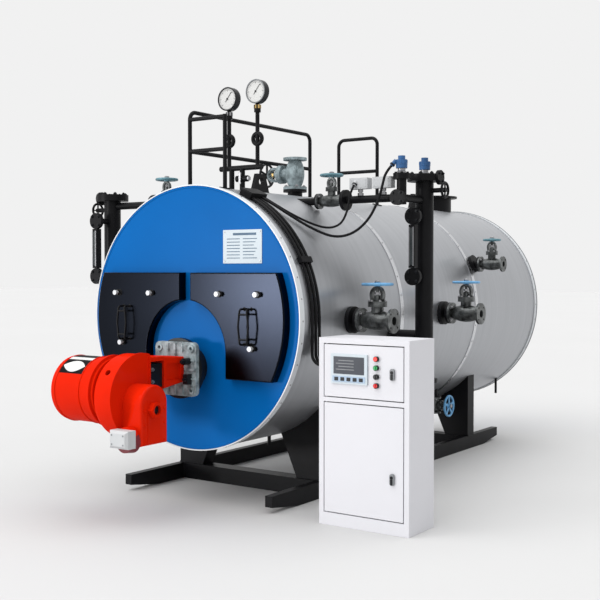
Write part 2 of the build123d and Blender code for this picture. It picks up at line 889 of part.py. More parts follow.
# Nozzles and pads between the barrel and its valves, cut back to the barrel
with BuildPart() as nozzles:
    for valve_y in (front_side_y, rear_side_y):
        with Locations((barrel_edge(side_valve_height), valve_y, side_valve_height)):
            Cylinder(pad_radius, 2 * pad_rise, rotation=(0, 90, 0))
        with Locations((side_valve_x - side_valve_run / 2, valve_y, side_valve_height)):
            Cylinder(side_nozzle_radius, 2 * side_nozzle_length, rotation=(0, -90, 0), align=base_up)
            Cylinder(side_flange_radius, side_flange_radius * flange_share, rotation=(0, -90, 0),
                     align=base_up)
    with Locations((small_valve_x - small_valve_run / 2, upper_side_y, small_valve_height)):
        Cylinder(side_nozzle_radius, 2 * small_nozzle_length, rotation=(0, -90, 0), align=base_up)
        Cylinder(small_flange_radius, small_flange_radius * flange_share, rotation=(0, -90, 0),
                 align=base_up)
    with Locations((barrel_edge(small_valve_height), upper_side_y, small_valve_height)):
        Cylinder(small_pad_radius, 2 * pad_rise, rotation=(0, 90 - upper_side_angle, 0))
    for side, level_y in ((1, right_level_y), (-1, left_level_y)):
        with Locations((side * (level_valve_x - level_valve_run / 2), level_y, level_line_height)):
            Cylinder(level_nozzle_radius, level_valve_x, rotation=(0, -90 * side, 0), align=base_up)
            Cylinder(level_flange_radius, level_flange_radius * flange_share, rotation=(0, -90 * side, 0),
                     align=base_up)
        with Locations((0, level_y, level_line_height)):
            Box(2 * barrel_edge(level_line_height), 4 * level_nozzle_radius, 4 * level_nozzle_radius,
                align=(Align.MAX if side > 0 else Align.MIN, Align.CENTER, Align.CENTER), mode=Mode.SUBTRACT)
    with Locations((0, steam_y, crown + steam_nozzle_length)):
        Cylinder(steam_nozzle_radius, 2 * steam_nozzle_length, rotation=(180, 0, 0), align=base_up)
        Cylinder(steam_flange_radius, steam_flange_radius * flange_share, rotation=(180, 0, 0),
                 align=base_up)
    with Locations((drain_valve_x, drain_y, drain_valve_height + drain_valve_run / 2)):
        Cylinder(drain_nozzle_radius, 4 * drain_nozzle_length, align=base_up)
        Cylinder(drain_flange_radius, drain_flange_radius * flange_share, align=base_up)
    cut_to_barrel()
keep(nozzles.part, "nozzles")

# Water columns beside the barrel
line_start = level_valve_x + level_valve_run / 2
column_reach = line_start + level_line_length
column_foot = axis_height - column_low
column_top = crown + column_high
link_height = axis_height - link_drop
gauge_heights = (axis_height + gauge_low, level_line_height - gauge_drop)
left_column_y = left_level_y


def water_column(side, y, top):
    """Stand pipe with its blind cap, foot, barrel link, gauge cocks, side branch and test cock."""
    x = side * column_reach
    outward = (0, 90 * side, 0)
    inward = (0, -90 * side, 0)
    with BuildPart() as column:
        with Locations((x, y, column_foot)):
            Cylinder(column_radius, top - column_foot, align=base_up)
            Cylinder(column_foot_radius, column_foot_height)
        with Locations((x, y, top)):
            Cylinder(column_cap_radius, column_cap_height)
        with Locations((x, y, link_height)):
            Cylinder(link_radius, column_reach - barrel_edge(link_height) + link_radius, rotation=inward,
                     align=base_up)
        for height in gauge_heights:
            with Locations((x, y, height)):
                Cylinder(gauge_arm_radius, gauge_offset, rotation=(90, 0, 0), align=base_up)
            with Locations((x, y - gauge_offset, height)):
                Cylinder(cock_radius, cock_depth, rotation=(90, 0, 0))
        with Locations((x, y, top)):
            Cylinder(branch_radius, branch_reach, rotation=outward, align=base_up)
        with Locations((x + side * (branch_reach - branch_flange_depth), y, top)):
            Cylinder(branch_flange_radius, branch_flange_depth, rotation=outward, align=base_up)
        with Locations((x, y, top - test_cock_drop)):
            Cylinder(test_cock_radius, test_cock_reach, rotation=outward, align=base_up)
        with Locations((x + side * (test_cock_reach - test_wheel_section), y, top - test_cock_drop)):
            Torus(test_wheel_radius, test_wheel_section, rotation=outward)
            Box(test_wheel_section, 2 * test_wheel_radius, test_wheel_section)
            Box(test_wheel_section, test_wheel_section, 2 * test_wheel_radius)
        cut_to_barrel()
    return column.part


keep(water_column(1, right_column_y, column_top), "right_water_column")
keep(water_column(-1, left_column_y, column_top - left_column_drop), "left_water_column")

# Gauge glass bodies between the cocks
with BuildPart() as gauge_glasses:
    for side, y in ((1, right_column_y), (-1, left_column_y)):
        with Locations((side * column_reach, y - gauge_offset, sum(gauge_heights) / 2)):
            Box(2 * glass_half, 2 * glass_half, gauge_heights[1] - gauge_heights[0] - 2 * cock_radius)
keep(gauge_glasses.part, "gauge_glasses")

# Level lines from the valves to the columns, with the riser that carries the second electrode
riser_top = level_line_height + riser_high
line_end = right_column_y - column_radius - seat_gap
with BuildPart() as level_lines:
    with Locations((line_start, right_level_y, level_line_height)):
        Cylinder(line_radius, column_reach - line_start, rotation=(0, 90, 0), align=base_up)
        Cylinder(line_flange_radius, line_flange_depth, rotation=(0, 90, 0), align=base_up)
    with Locations((column_reach, right_level_y, level_line_height - riser_low)):
        Cylinder(riser_radius, riser_low + riser_high, align=base_up)
    with Locations((column_reach, right_level_y, riser_top)):
        Cylinder(riser_flange_radius, riser_flange_depth)
    with Locations((column_reach, right_level_y, level_line_height)):
        Cylinder(line_radius, tee_reach, rotation=(90, 0, 0), align=base_up)
    with Locations((column_reach, right_level_y - tee_reach, level_line_height)):
        Cylinder(tee_flange_radius, cock_depth, rotation=(90, 0, 0))
    with Locations((column_reach, line_end, level_line_height)):
        Cylinder(line_radius, line_end - right_level_y, rotation=(90, 0, 0), align=base_up)
    with Locations((-line_start, left_level_y, level_line_height)):
        Cylinder(line_radius, column_reach - column_radius - seat_gap - line_start, rotation=(0, -90, 0),
                 align=base_up)
        Cylinder(line_flange_radius, line_flange_depth, rotation=(0, -90, 0), align=base_up)
keep(level_lines.part, "level_lines")


# Level electrodes with stepped caps, the first with the gland of its cable
electrode_bases = (
    (column_reach, right_level_y, riser_top + riser_flange_depth / 2),
    (column_reach, right_column_y, column_top + column_cap_height / 2),
)
with BuildPart() as level_electrodes:
    for x, y, base in electrode_bases:
        with Locations((x, y, base)):
            Cylinder(electrode_stem_radius, electrode_stem, align=base_up)
        with Locations((x, y, base + electrode_stem)):
            Cylinder(electrode_radius, electrode_height, align=base_up)
        with Locations((x, y, base + electrode_stem + electrode_height)):
            Cylinder(electrode_tip_radius, electrode_tip, align=base_up)
    gland_seat = Vector(electrode_bases[0]) + Vector(electrode_gland_offset)
    with BuildSketch(Plane(origin=gland_seat, z_dir=electrode_gland_heading)):
        Circle(cable_gland_radius)
    extrude(amount=cable_gland_length)
keep(level_electrodes.part, "level_electrodes")

# Pressure switches standing on the level line, the first with the gland of its cable
switch_base = level_line_height + line_radius + seat_gap
with BuildPart() as pressure_switches:
    for inset in switch_insets:
        with Locations((line_start + inset, right_level_y, switch_base + switch_stem)):
            Box(switch_width, switch_depth, switch_height, align=base_up)
    fillet(pressure_switches.edges().filter_by(Axis.Z), switch_round)
    for inset in switch_insets:
        with Locations((line_start + inset, right_level_y, switch_base)):
            Cylinder(switch_stem_radius, switch_stem, align=base_up)
    gland_seat = Vector(switch_insets[0] + line_start, right_level_y, switch_base + switch_stem)
    gland_seat = gland_seat + Vector(switch_gland_offset)
    with BuildSketch(Plane(origin=gland_seat, z_dir=switch_gland_heading)):
        Circle(cable_gland_radius)
    extrude(amount=cable_gland_length)
keep(pressure_switches.part, "pressure_switches")

# Pressure gauges on a cross pipe with pigtail siphons
gauge_y = station(gauge_station)
manifold_height = crown + manifold_rise
with BuildPart() as gauge_manifold:
    with Locations((manifold_left, gauge_y, manifold_height)):
        Cylinder(manifold_radius, manifold_length, rotation=(0, 90, 0), align=base_up)
    for x in stub_spots:
        with Locations((x, gauge_y, axis_height)):
            Cylinder(manifold_radius, manifold_height - axis_height, align=base_up)
    with Locations((stub_spots[-1], gauge_y, crown + manifold_rise / 2)):
        Cylinder(stub_cock_radius, stub_cock_length, rotation=(0, 90, 0))
    for x, rise in gauge_spots:
        with Locations((x, gauge_y, manifold_height)):
            Cylinder(gauge_pipe_radius, rise - gauge_radius - seat_gap, align=base_up)
        with Locations((x, gauge_y, manifold_height + siphon_rise)):
            Torus(siphon_radius, gauge_pipe_radius, rotation=(90, 0, 0))
        with Locations((x, gauge_y, manifold_height + rise - gauge_radius - gauge_nut_height - gauge_bezel)):
            Cylinder(gauge_nut_radius, gauge_nut_height, align=base_up)
    cut_to_barrel()
keep(gauge_manifold.part, "gauge_manifold")

with BuildPart() as pressure_gauges:
    for x, rise in gauge_spots:
        with BuildSketch(across(gauge_y + gauge_depth / 2)):
            with Locations((x, manifold_height + rise)):
                Circle(gauge_radius)
        extrude(amount=gauge_depth)
        with BuildSketch(across(gauge_y - gauge_depth / 2)):
            with Locations((x, manifold_height + rise)):
                Circle(gauge_radius - gauge_bezel)
        extrude(amount=-gauge_recess, mode=Mode.SUBTRACT)
keep(pressure_gauges.part, "pressure_gauges")

# Lifting lugs along the top
with BuildPart() as lifting_lugs:
    for lug_y in (gauge_y + lug_after_gauges, flue_y - lug_before_flue):
        with BuildSketch(Plane.YZ.offset(-lug_thickness / 2)):
            with BuildLine():
                Polyline(
                    (lug_y - lug_width / 2, crown),
                    (lug_y + lug_width / 2, crown),
                    (lug_y + lug_top_width / 2, crown + lug_height),
                    (lug_y - lug_top_width / 2, crown + lug_height),
                    close=True,
                )
            make_face()
            with Locations((lug_y, crown + lug_eye_rise)):
                Circle(lug_eye_radius, mode=Mode.SUBTRACT)
        extrude(amount=lug_thickness)
keep(lifting_lugs.part, "lifting_lugs")

# Flue outlet
flue_top = crown + flue_rise
with BuildPart() as flue_outlet:
    with Locations((0, flue_y, axis_height)):
        Cylinder(flue_radius, flue_top - axis_height, align=base_up)
    with Locations((0, flue_y, flue_top - flue_flange_thickness)):
        Cylinder(flue_flange_radius, flue_flange_thickness, align=base_up)
    with Locations((0, flue_y, axis_height)):
        Cylinder(flue_radius - flue_wall, 2 * flue_top, mode=Mode.SUBTRACT)
    with Locations((0, flue_y, flue_top)):
        with PolarLocations(flue_bolt_circle / 2, flue_bolt_count):
            Cylinder(flue_bolt_hole, 4 * flue_flange_thickness, mode=Mode.SUBTRACT)
    cut_to_barrel()
keep(flue_outlet.part, "flue_outlet")

# Guard rails on top of the barrel
rail_top = crown + rail_rise
rail_middle = crown + rail_middle_rise
rail_front_y = station(rail_front_station)
rail_rear_y = first_seam + rail_after_seam
hoop_y = last_seam - hoop_before_seam
rail_x = -rail_left


def rail_foot(x):
    return barrel_top(x) - rail_radius


rail_plan = (
    ((rail_x, rail_front_y), (rail_x, rail_rear_y)),
    ((rail_x, hoop_y), (hoop_right, hoop_y)),
)
with BuildPart() as guard_rails:
    for (first_x, first_y), (last_x, last_y) in rail_plan:
        foot = (first_x, first_y, rail_foot(first_x))
        with BuildLine():
            FilletPolyline(
                foot,
                (first_x, first_y, rail_top),
                (last_x, last_y, rail_top),
                (last_x, last_y, rail_foot(last_x)),
                radius=rail_bend,
            )
        with BuildSketch(Plane(origin=foot, z_dir=up)):
            Circle(rail_radius)
        sweep()
    with Locations((rail_x, rail_front_y, rail_middle)):
        Cylinder(rail_radius, rail_rear_y - rail_front_y, rotation=(-90, 0, 0), align=base_up)
        Cylinder(rail_radius, rail_right - rail_x, rotation=(0, 90, 0), align=base_up)
    with Locations((rail_x, rail_front_y, rail_top - rail_bend)):
        Cylinder(rail_radius, rail_right - rail_x, rotation=(0, 90, 0), align=base_up)
    with Locations((rail_right, rail_front_y, rail_foot(rail_right))):
        Cylinder(rail_radius, rail_top - rail_bend - rail_foot(rail_right) + rail_radius, align=base_up)
    with Locations((rail_x, hoop_y, rail_middle)):
        Cylinder(rail_radius, hoop_right - rail_x, rotation=(0, 90, 0), align=base_up)
    cut_to_barrel()
keep(guard_rails.part, "guard_rails")

# Drain pipes under the barrel
rear_drain_x = barrel_radius - rear_drain_inset
drain_plan = (
    (front_drain_x, station(front_drain_station), front_drain_length, front_drain_radius),
    (rear_drain_x, rear_face - rear_drain_from_rear, rear_drain_length, rear_drain_radius),
)
with BuildPart() as drain_pipes:
    for x, pipe_y, length, radius in drain_plan:
        with Locations((x, pipe_y, barrel_bottom(x) - length)):
            Cylinder(radius, 2 * length, align=base_up)
    cut_to_barrel()
keep(drain_pipes.part, "drain_pipes")

# Control cabinet: folded box with two openings, closed by doors on pivots
cabinet_left = barrel_radius + cabinet_clear
cabinet_right = cabinet_left + cabinet_width
cabinet_front = station(cabinet_station)
cabinet_middle_x = (cabinet_left + cabinet_right) / 2
cabinet_middle_y = cabinet_front + cabinet_depth / 2
front_skin = leaf_thickness + 2 * leaf_wall
opening_width = cabinet_width - 2 * stile
leaf_width = opening_width - 2 * leaf_gap
upper_low = split_height + split_rail / 2
upper_high = cabinet_height - stile
lower_low = cabinet_plinth + stile
lower_high = split_height - split_rail / 2
pivot_x = cabinet_left + stile + leaf_gap + pivot_inset
pivot_y = cabinet_front + leaf_thickness / 2
cabinet_inside_height = (cabinet_height + cabinet_plinth) / 2
openings = (("upper", upper_low, upper_high), ("lower", lower_low, lower_high))
with BuildPart() as cabinet_body:
    with Locations((cabinet_middle_x, cabinet_middle_y, cabinet_height / 2)):
        Box(cabinet_width, cabinet_depth, cabinet_height)
    with Locations((cabinet_middle_x, cabinet_middle_y + front_skin / 2, cabinet_inside_height)):
        Box(cabinet_width - 2 * cabinet_wall, cabinet_depth - front_skin - 2 * cabinet_wall,
            cabinet_height - cabinet_plinth - 2 * cabinet_wall, mode=Mode.SUBTRACT)
    for _, low, high in openings:
        with Locations((cabinet_middle_x, cabinet_front, (low + high) / 2)):
            Box(opening_width, 3 * leaf_thickness, high - low, mode=Mode.SUBTRACT)
        for height in (low, high):
            with Locations((pivot_x, pivot_y, height)):
                Cylinder(pivot_radius, 2 * (leaf_gap + pivot_grip))
keep(cabinet_body.part, "cabinet_body")

for leaf_name, low, high in openings:
    leaf_height = high - low - 2 * leaf_gap
    with BuildPart() as leaf:
        with Locations((cabinet_middle_x, pivot_y, (low + high) / 2)):
            Box(leaf_width, leaf_thickness, leaf_height)
        with Locations((cabinet_middle_x, pivot_y + leaf_wall, (low + high) / 2)):
            Box(leaf_width - 2 * leaf_wall, leaf_thickness, leaf_height - 2 * leaf_wall, mode=Mode.SUBTRACT)
        with Locations((pivot_x, pivot_y, (low + high) / 2)):
            Cylinder(pivot_radius + pivot_clearance, 2 * leaf_height, mode=Mode.SUBTRACT)
    keep(leaf.part, f"cabinet_{leaf_name}_door")

# What sits on the cabinet doors: display, push buttons and locks
with BuildPart() as display_panel:
    with BuildSketch(across(cabinet_front)):
        with Locations((cabinet_left + display_inset + display_width / 2, cabinet_height - display_drop)):
            Rectangle(display_width, display_height)
    extrude(amount=display_depth)
keep(display_panel.part, "display_panel")

with BuildPart() as push_buttons:
    for drop in button_drops:
        with BuildSketch(across(cabinet_front)):
            with Locations((cabinet_left + button_inset, cabinet_height - drop)):
                Circle(button_radius)
        extrude(amount=button_depth)
keep(push_buttons.part, "push_buttons")

lock_plan = (("upper_lock", cabinet_height - upper_lock_drop), ("lower_lock", lower_lock_rise))
for lock_name, height in lock_plan:
    with BuildPart() as door_lock:
        with BuildSketch(across(cabinet_front)):
            with Locations((cabinet_left + lock_inset, height)):
                SlotOverall(lock_height, lock_width, rotation=90)
        extrude(amount=lock_depth)
    keep(door_lock.part, lock_name)

# Conduits that lie on the barrel, from a saddle near its top to the side of the cabinet
conduit_line = barrel_radius + conduit_lift + conduit_radius
entry_drop = conduit_entry - axis_height
block_inner = barrel_radius + seat_gap
block_plan = (
    (conduit_start, saddle_sweep, saddle_height, saddle_front, saddle_rear),
    (clip_angle, clip_sweep, clip_height, saddle_front, saddle_rear - saddle_height),
)


def ray_point(angle):
    """Point well outside the barrel at an angle above the horizontal, in a plane across it."""
    reach = 2 * barrel_radius
    return (reach * math.cos(math.radians(angle)), axis_height + reach * math.sin(math.radians(angle)))


with BuildPart() as conduits:
    for index in range(conduit_count):
        conduit_y = station(conduit_first + index * conduit_pitch)
        middle = Plane((0, conduit_y, axis_height), x_dir=along_x, z_dir=(0, -1, 0))
        with BuildLine(middle) as run_line:
            CenterArc((0, 0), conduit_line, conduit_start, -conduit_start)
            Line((conduit_line, 0), (conduit_line, entry_drop + conduit_bend))
            CenterArc((conduit_line + conduit_bend, entry_drop + conduit_bend), conduit_bend, 180, 90)
            Line((conduit_line + conduit_bend, entry_drop), (cabinet_left, entry_drop))
        with BuildSketch(Plane(origin=run_line.line @ 0, z_dir=run_line.line % 0)):
            Circle(conduit_radius)
        sweep()
    for first_angle, sweep_angle, height, front, rear in block_plan:
        with BuildSketch(across(station(rear))):
            with Locations((0, axis_height)):
                Circle(block_inner + height)
                Circle(block_inner, mode=Mode.SUBTRACT)
            with BuildLine():
                Polyline(
                    (0, axis_height),
                    ray_point(first_angle),
                    ray_point(first_angle + sweep_angle),
                    close=True,
                )
            make_face(mode=Mode.INTERSECT)
        extrude(amount=rear - front)
keep(conduits.part, "conduits")

def cable_path(route):
    """Points of a cable, the radius at each of its bends and the plane at its start."""
    points = [Vector(x, station(along), axis_height + rise) for x, along, rise in route]
    radii = []
    for before, bend, after in zip(points, points[1:], points[2:]):
        turn = math.radians((bend - before).get_angle(after - bend))
        shorter = min((bend - before).length, (after - bend).length)
        radii.append(cable_bend_share * shorter / math.tan(turn / 2))
    start = Plane(origin=points[0], z_dir=points[1] - points[0])
    return points, radii, start


# Hanging cables from the saddle to the first electrode and the first switch
cable_plan = (
    ("level_cable", level_cable_route, cable_diameter),
    ("switch_cable", switch_cable_route, thin_cable_diameter),
)
for cable_name, route, diameter in cable_plan:
    points, radii, start = cable_path(route)
    print(cable_name, "bend radii", [round(radius) for radius in radii])
    with BuildPart() as cable:
        with BuildLine() as cable_line:
            FilletPolyline(*points, radius=radii)
        with BuildSketch(start):
            Circle(diameter / 2)
        sweep()
    section = math.pi * diameter**2 / 4
    run_length = sum(edge.length for edge in cable_line.edges())
    print(cable_name, "length", round(run_length), "volume share", cable.part.volume / section / run_length)
    keep(cable.part, cable_name)
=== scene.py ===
import math

import bmesh
import bpy
from bpy.props import FloatProperty, FloatVectorProperty, IntProperty, PointerProperty
from bpy.types import Operator, Panel, PropertyGroup
from mathutils import Matrix, Vector


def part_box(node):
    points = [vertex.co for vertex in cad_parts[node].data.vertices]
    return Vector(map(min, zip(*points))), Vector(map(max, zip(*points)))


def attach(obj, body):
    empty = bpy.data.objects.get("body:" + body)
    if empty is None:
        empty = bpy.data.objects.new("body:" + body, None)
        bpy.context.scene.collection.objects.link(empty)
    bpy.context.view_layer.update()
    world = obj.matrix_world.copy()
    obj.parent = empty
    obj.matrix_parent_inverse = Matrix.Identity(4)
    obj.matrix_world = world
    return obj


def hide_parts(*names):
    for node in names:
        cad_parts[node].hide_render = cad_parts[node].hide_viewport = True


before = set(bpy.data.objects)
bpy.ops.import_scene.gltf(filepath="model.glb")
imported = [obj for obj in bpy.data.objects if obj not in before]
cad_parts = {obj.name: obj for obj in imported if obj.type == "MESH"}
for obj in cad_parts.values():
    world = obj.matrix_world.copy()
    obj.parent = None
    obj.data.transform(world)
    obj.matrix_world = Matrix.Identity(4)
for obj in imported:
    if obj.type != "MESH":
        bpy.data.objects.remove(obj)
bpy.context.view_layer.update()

bl_info = {
    "name": "Fire-tube boiler dressing",
    "version": (1, 0, 0),
    "blender": (4, 5, 0),
    "location": "View3D > Sidebar > Boiler",
    "description": "Finishes, fasteners and fittings for a horizontal steam boiler",
    "category": "Object",
}

ROOT = "boiler"
FORWARD = Vector((0, -1, 0))
BACK = Vector((0, 1, 0))
RIGHT = Vector((1, 0, 0))
UP = Vector((0, 0, 1))
EIGHTH_TURN = math.pi / 4

# The barrel's measures, read from the frame.
BARREL_LOW, BARREL_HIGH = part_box("jacket_middle")
BARREL_RADIUS = (BARREL_HIGH[0] - BARREL_LOW[0]) / 2
AXIS_HEIGHT = (BARREL_HIGH[2] + BARREL_LOW[2]) / 2
CROWN = AXIS_HEIGHT + BARREL_RADIUS
FRONT_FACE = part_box("front_plate")[0][1]

# The water columns stand this far to each side. The right level line carries switches and an electrode.
COLUMN_X = 1.04
LINE_Y = 0.145
LINE_HEIGHT = CROWN - 0.07
ELECTRODE_SEAT = LINE_HEIGHT + 0.148

# Each valve: the direction of its run away from the barrel and the direction of its stem.
VALVES = {
    "front_side": (RIGHT, UP),
    "rear_side": (RIGHT, UP),
    "upper_side": (RIGHT, UP),
    "right_level": (RIGHT, UP),
    "left_level": (-RIGHT, UP),
    "steam": (UP, -RIGHT),
    "drain": (-UP, RIGHT),
}
FREE_OUTLET = {"front_side", "rear_side", "upper_side", "steam", "drain"}

# Ribs on one side of the burner flange: shift, reach from its centre, rise above the plate and size.
FLANGE_RIBS = (
    (0.0, 0.118, 0.004, (0.014, 0.01, 0.07)),
    (-0.055, 0.128, 0.003, (0.01, 0.008, 0.05)),
    (0.055, 0.128, 0.003, (0.01, 0.008, 0.05)),
)

# Feet of the guard rails on the barrel, and the lifting lugs along it.
RAIL_FEET = ((-0.15, -0.431), (-0.15, 0.912), (0.13, -0.431), (-0.15, 1.308), (0.19, 1.308))
LUG_STATIONS = (0.098, 2.25)

# Control points of the hanging cables, from the saddle to the gland.
LEVEL_CABLE = (
    (0.3859056, -0.394, 1.8557829), (0.4565414, -0.394, 1.8182252), (0.545, -0.325, 1.745),
    (0.632, -0.220, 1.668), (0.722, -0.115, 1.615), (0.808, -0.035, 1.640), (0.880, 0.025, 1.725),
    (0.925, 0.058, 1.835), (0.948, 0.076, 1.940), (0.960, 0.085, 2.010), (0.990, 0.109, 2.054),
)
SWITCH_CABLE = (
    (0.3859056, -0.371, 1.8557829), (0.4521267, -0.371, 1.8205725), (0.535, -0.310, 1.758),
    (0.612, -0.215, 1.702), (0.668, -0.110, 1.672), (0.705, -0.025, 1.695), (0.718, 0.025, 1.760),
    (0.722, 0.052, 1.840), (0.724, 0.068, 1.905), (0.728, 0.100, 1.945),
)

# Push buttons from the lowest up.
BUTTON_TINTS = (
    ("red", (0.62, 0.02, 0.02)),
    ("black", (0.02, 0.02, 0.022)),
    ("green", (0.02, 0.30, 0.08)),
    ("lamp_red", (0.75, 0.03, 0.02)),
)

# Studio lights: name, kind, place, target and power.
LIGHTS = (
    ("window", "AREA", (-5.8, -9.94, 1.2), (0.5, -0.66, 1.2), 26),
    ("key", "SUN", (-2.5, -5.5, 8.0), (0, 0, 0), 1.6),
    ("top", "SUN", (1.0, 2.5, 9.6), (0, 0, 0), 1.2),
)


def colour(name, about, default):
    return FloatVectorProperty(name=name, description=about, default=default, subtype="COLOR", min=0, max=1)


def length(name, about, default):
    return FloatProperty(name=name, description=about, default=default, unit="LENGTH", min=0)


class BoilerFinishes(PropertyGroup):
    """Colours of the boiler's finishes."""

    jacket: colour("Jacket", "Brushed cladding sheet", (0.39, 0.40, 0.42))
    rim: colour("Rim", "Closing rings at the barrel's ends", (0.60, 0.62, 0.64))
    plate: colour("Front plate", "Blue paint of the end plates", (0.001, 0.105, 0.36))
    door: colour("Smoke box doors", "Graphite paint of the doors", (0.0065, 0.0078, 0.0115))
    steel: colour("Steelwork", "Black paint of pipes, rails and base", (0.005, 0.005, 0.006))
    burner: colour("Burner", "Red paint of the burner's housings", (0.60, 0.014, 0.002))
    alloy: colour("Castings", "Bare cast alloy", (0.235, 0.285, 0.30))
    iron: colour("Valve bodies", "Grey paint of the valve castings", (0.085, 0.09, 0.09))
    wheel: colour("Handwheels", "Blue paint of the handwheels", (0.13, 0.33, 0.56))
    cabinet: colour("Cabinet", "Powder coat of the control cabinet", (0.61, 0.61, 0.64))


class BoilerFasteners(PropertyGroup):
    """Sizes of the boiler's fasteners and small fittings."""

    screw_radius: length("Screw radius", "Radius of a cladding screw's head", 0.006)
    screw_count: IntProperty(name="Screws", description="Cladding screws around one band", default=40, min=8)
    nut_radius: length("Nut radius", "Largest corner radius of a valve's flange nut", 0.012)
    bead: length("Weld bead", "Radius of a weld bead", 0.006)
    rivet_radius: length("Rivet radius", "Radius of the data plate's rivets", 0.005)


def finishes():
    return bpy.context.scene.boiler_finishes


def fasteners():
    return bpy.context.scene.boiler_fasteners


def surface(name, base, shade=0.1, metallic=0.0, roughness=0.45, spread=0.1, mottle=2.5, grain=90.0,
            stretch=(1, 1, 1), bump=0.06, coat=0.0, gloss=0.3):
    """Procedural finish: broad mottling in the colour, fine grain in the roughness and the relief."""
    known = bpy.data.materials.get(name)
    if known:
        return known
    material = bpy.data.materials.new(name)
    material.use_nodes = True
    material.diffuse_color = (*base, 1)
    nodes = material.node_tree.nodes
    links = material.node_tree.links
    shader = nodes["Principled BSDF"]
    shader.inputs["Metallic"].default_value = metallic
    shader.inputs["Coat Weight"].default_value = coat
    shader.inputs["Coat Roughness"].default_value = 0.06
    shader.inputs["Specular IOR Level"].default_value = gloss
    place = nodes.new("ShaderNodeTexCoord")
    mapping = nodes.new("ShaderNodeMapping")
    mapping.inputs["Scale"].default_value = stretch
    links.new(place.outputs["Object"], mapping.inputs["Vector"])
    broad = nodes.new("ShaderNodeTexNoise")
    broad.inputs["Scale"].default_value = mottle
    broad.inputs["Detail"].default_value = 6.0
    links.new(mapping.outputs["Vector"], broad.inputs["Vector"])
    ramp = nodes.new("ShaderNodeValToRGB")
    dark, light = ramp.color_ramp.elements
    dark.position = 0.3
    dark.color = (*[max(0.0, c * (1 - shade)) for c in base], 1)
    light.position = 0.7
    light.color = (*[min(1.0, c * (1 + shade)) for c in base], 1)
    links.new(broad.outputs["Fac"], ramp.inputs["Fac"])
    links.new(ramp.outputs["Color"], shader.inputs["Base Color"])
    fine = nodes.new("ShaderNodeTexNoise")
    fine.inputs["Scale"].default_value = grain
    fine.inputs["Detail"].default_value = 4.0
    links.new(mapping.outputs["Vector"], fine.inputs["Vector"])
    polish = nodes.new("ShaderNodeMapRange")
    polish.inputs["To Min"].default_value = max(0.03, roughness - spread)
    polish.inputs["To Max"].default_value = min(1.0, roughness + spread)
    links.new(fine.outputs["Fac"], polish.inputs["Value"])
    links.new(polish.outputs["Result"], shader.inputs["Roughness"])
    relief = nodes.new("ShaderNodeBump")
    relief.inputs["Strength"].default_value = bump
    relief.inputs["Distance"].default_value = 0.002
    links.new(fine.outputs["Fac"], relief.inputs["Height"])
    links.new(relief.outputs["Normal"], shader.inputs["Normal"])
    return material


def brushed_sheet():
    return surface("brushed_sheet", finishes().jacket, shade=0.05, metallic=0.85, roughness=0.36,
                   spread=0.05, mottle=1.2, grain=14.0, stretch=(1, 26, 1), bump=0.03)


def polished_band():
    return surface("polished_band", (0.60, 0.61, 0.63), shade=0.06, metallic=0.95, roughness=0.22,
                   spread=0.05, mottle=4.0, grain=60.0, stretch=(1, 8, 1), bump=0.03)


def pale_rim():
    return surface("rim_paint", finishes().rim, shade=0.04, metallic=0.1, roughness=0.42, spread=0.06,
                   mottle=3.0, grain=80.0, gloss=0.12)


def blue_gloss():
    return surface("blue_gloss", finishes().plate, shade=0.09, roughness=0.34, spread=0.05,
                   mottle=1.1, grain=220.0, bump=0.02, gloss=0.03)


def graphite():
    return surface("graphite_paint", finishes().door, shade=0.1, metallic=1.0, roughness=0.23, spread=0.02,
                   mottle=1.6, grain=260.0, bump=0.01)


def black_paint():
    return surface("black_paint", finishes().steel, shade=0.35, roughness=0.42, spread=0.1,
                   mottle=5.0, grain=130.0, gloss=0.12)


def red_gloss():
    return surface("red_gloss", finishes().burner, shade=0.06, roughness=0.3, spread=0.05,
                   mottle=3.0, grain=180.0, bump=0.01, coat=0.1, gloss=0.0)


def dark_red():
    return surface("dark_red_paint", (0.16, 0.012, 0.02), shade=0.15, roughness=0.4, spread=0.08,
                   mottle=4.0, grain=150.0)


def cast_alloy():
    return surface("rough_alloy", finishes().alloy, shade=0.5, roughness=0.6, spread=0.12,
                   mottle=30.0, grain=160.0, bump=0.6, gloss=0.06)


def cast_iron():
    return surface("cast_iron_paint", finishes().iron, shade=0.75, metallic=0.7, roughness=0.3, spread=0.1,
                   mottle=24.0, grain=200.0, bump=0.12, coat=0.1)


def wheel_paint():
    return surface("wheel_paint", finishes().wheel, shade=0.25, metallic=0.1, roughness=0.34, spread=0.06,
                   mottle=12.0, grain=200.0, bump=0.08, coat=0.1, gloss=0.15)


def wheel_teal():
    return surface("wheel_teal_paint", (0.11, 0.22, 0.26), shade=0.3, metallic=0.1, roughness=0.36,
                   spread=0.06, mottle=14.0, grain=200.0, bump=0.08, gloss=0.15)


def bright_steel():
    return surface("bright_steel", (0.50, 0.51, 0.53), shade=0.05, metallic=0.25, roughness=0.42,
                   spread=0.05, mottle=8.0, grain=160.0, bump=0.02, gloss=0.2)


def zinc():
    return surface("zinc_plate", (0.30, 0.30, 0.31), shade=0.12, metallic=0.9, roughness=0.36, spread=0.08,
                   mottle=30.0, grain=260.0, bump=0.05)


def brass():
    return surface("brass_fitting", (0.58, 0.40, 0.15), metallic=0.95, roughness=0.3, spread=0.06,
                   mottle=20.0, grain=200.0, bump=0.04)


def white_plastic():
    return surface("housing_white", (0.47, 0.48, 0.49), shade=0.03, roughness=0.5, spread=0.05,
                   mottle=6.0, grain=400.0, bump=0.04, gloss=0.08)


def cap_blue():
    return surface("cap_blue_plastic", (0.035, 0.105, 0.25), shade=0.3, roughness=0.3, spread=0.05,
                   mottle=8.0, grain=300.0, bump=0.03, coat=0.1, gloss=0.15)


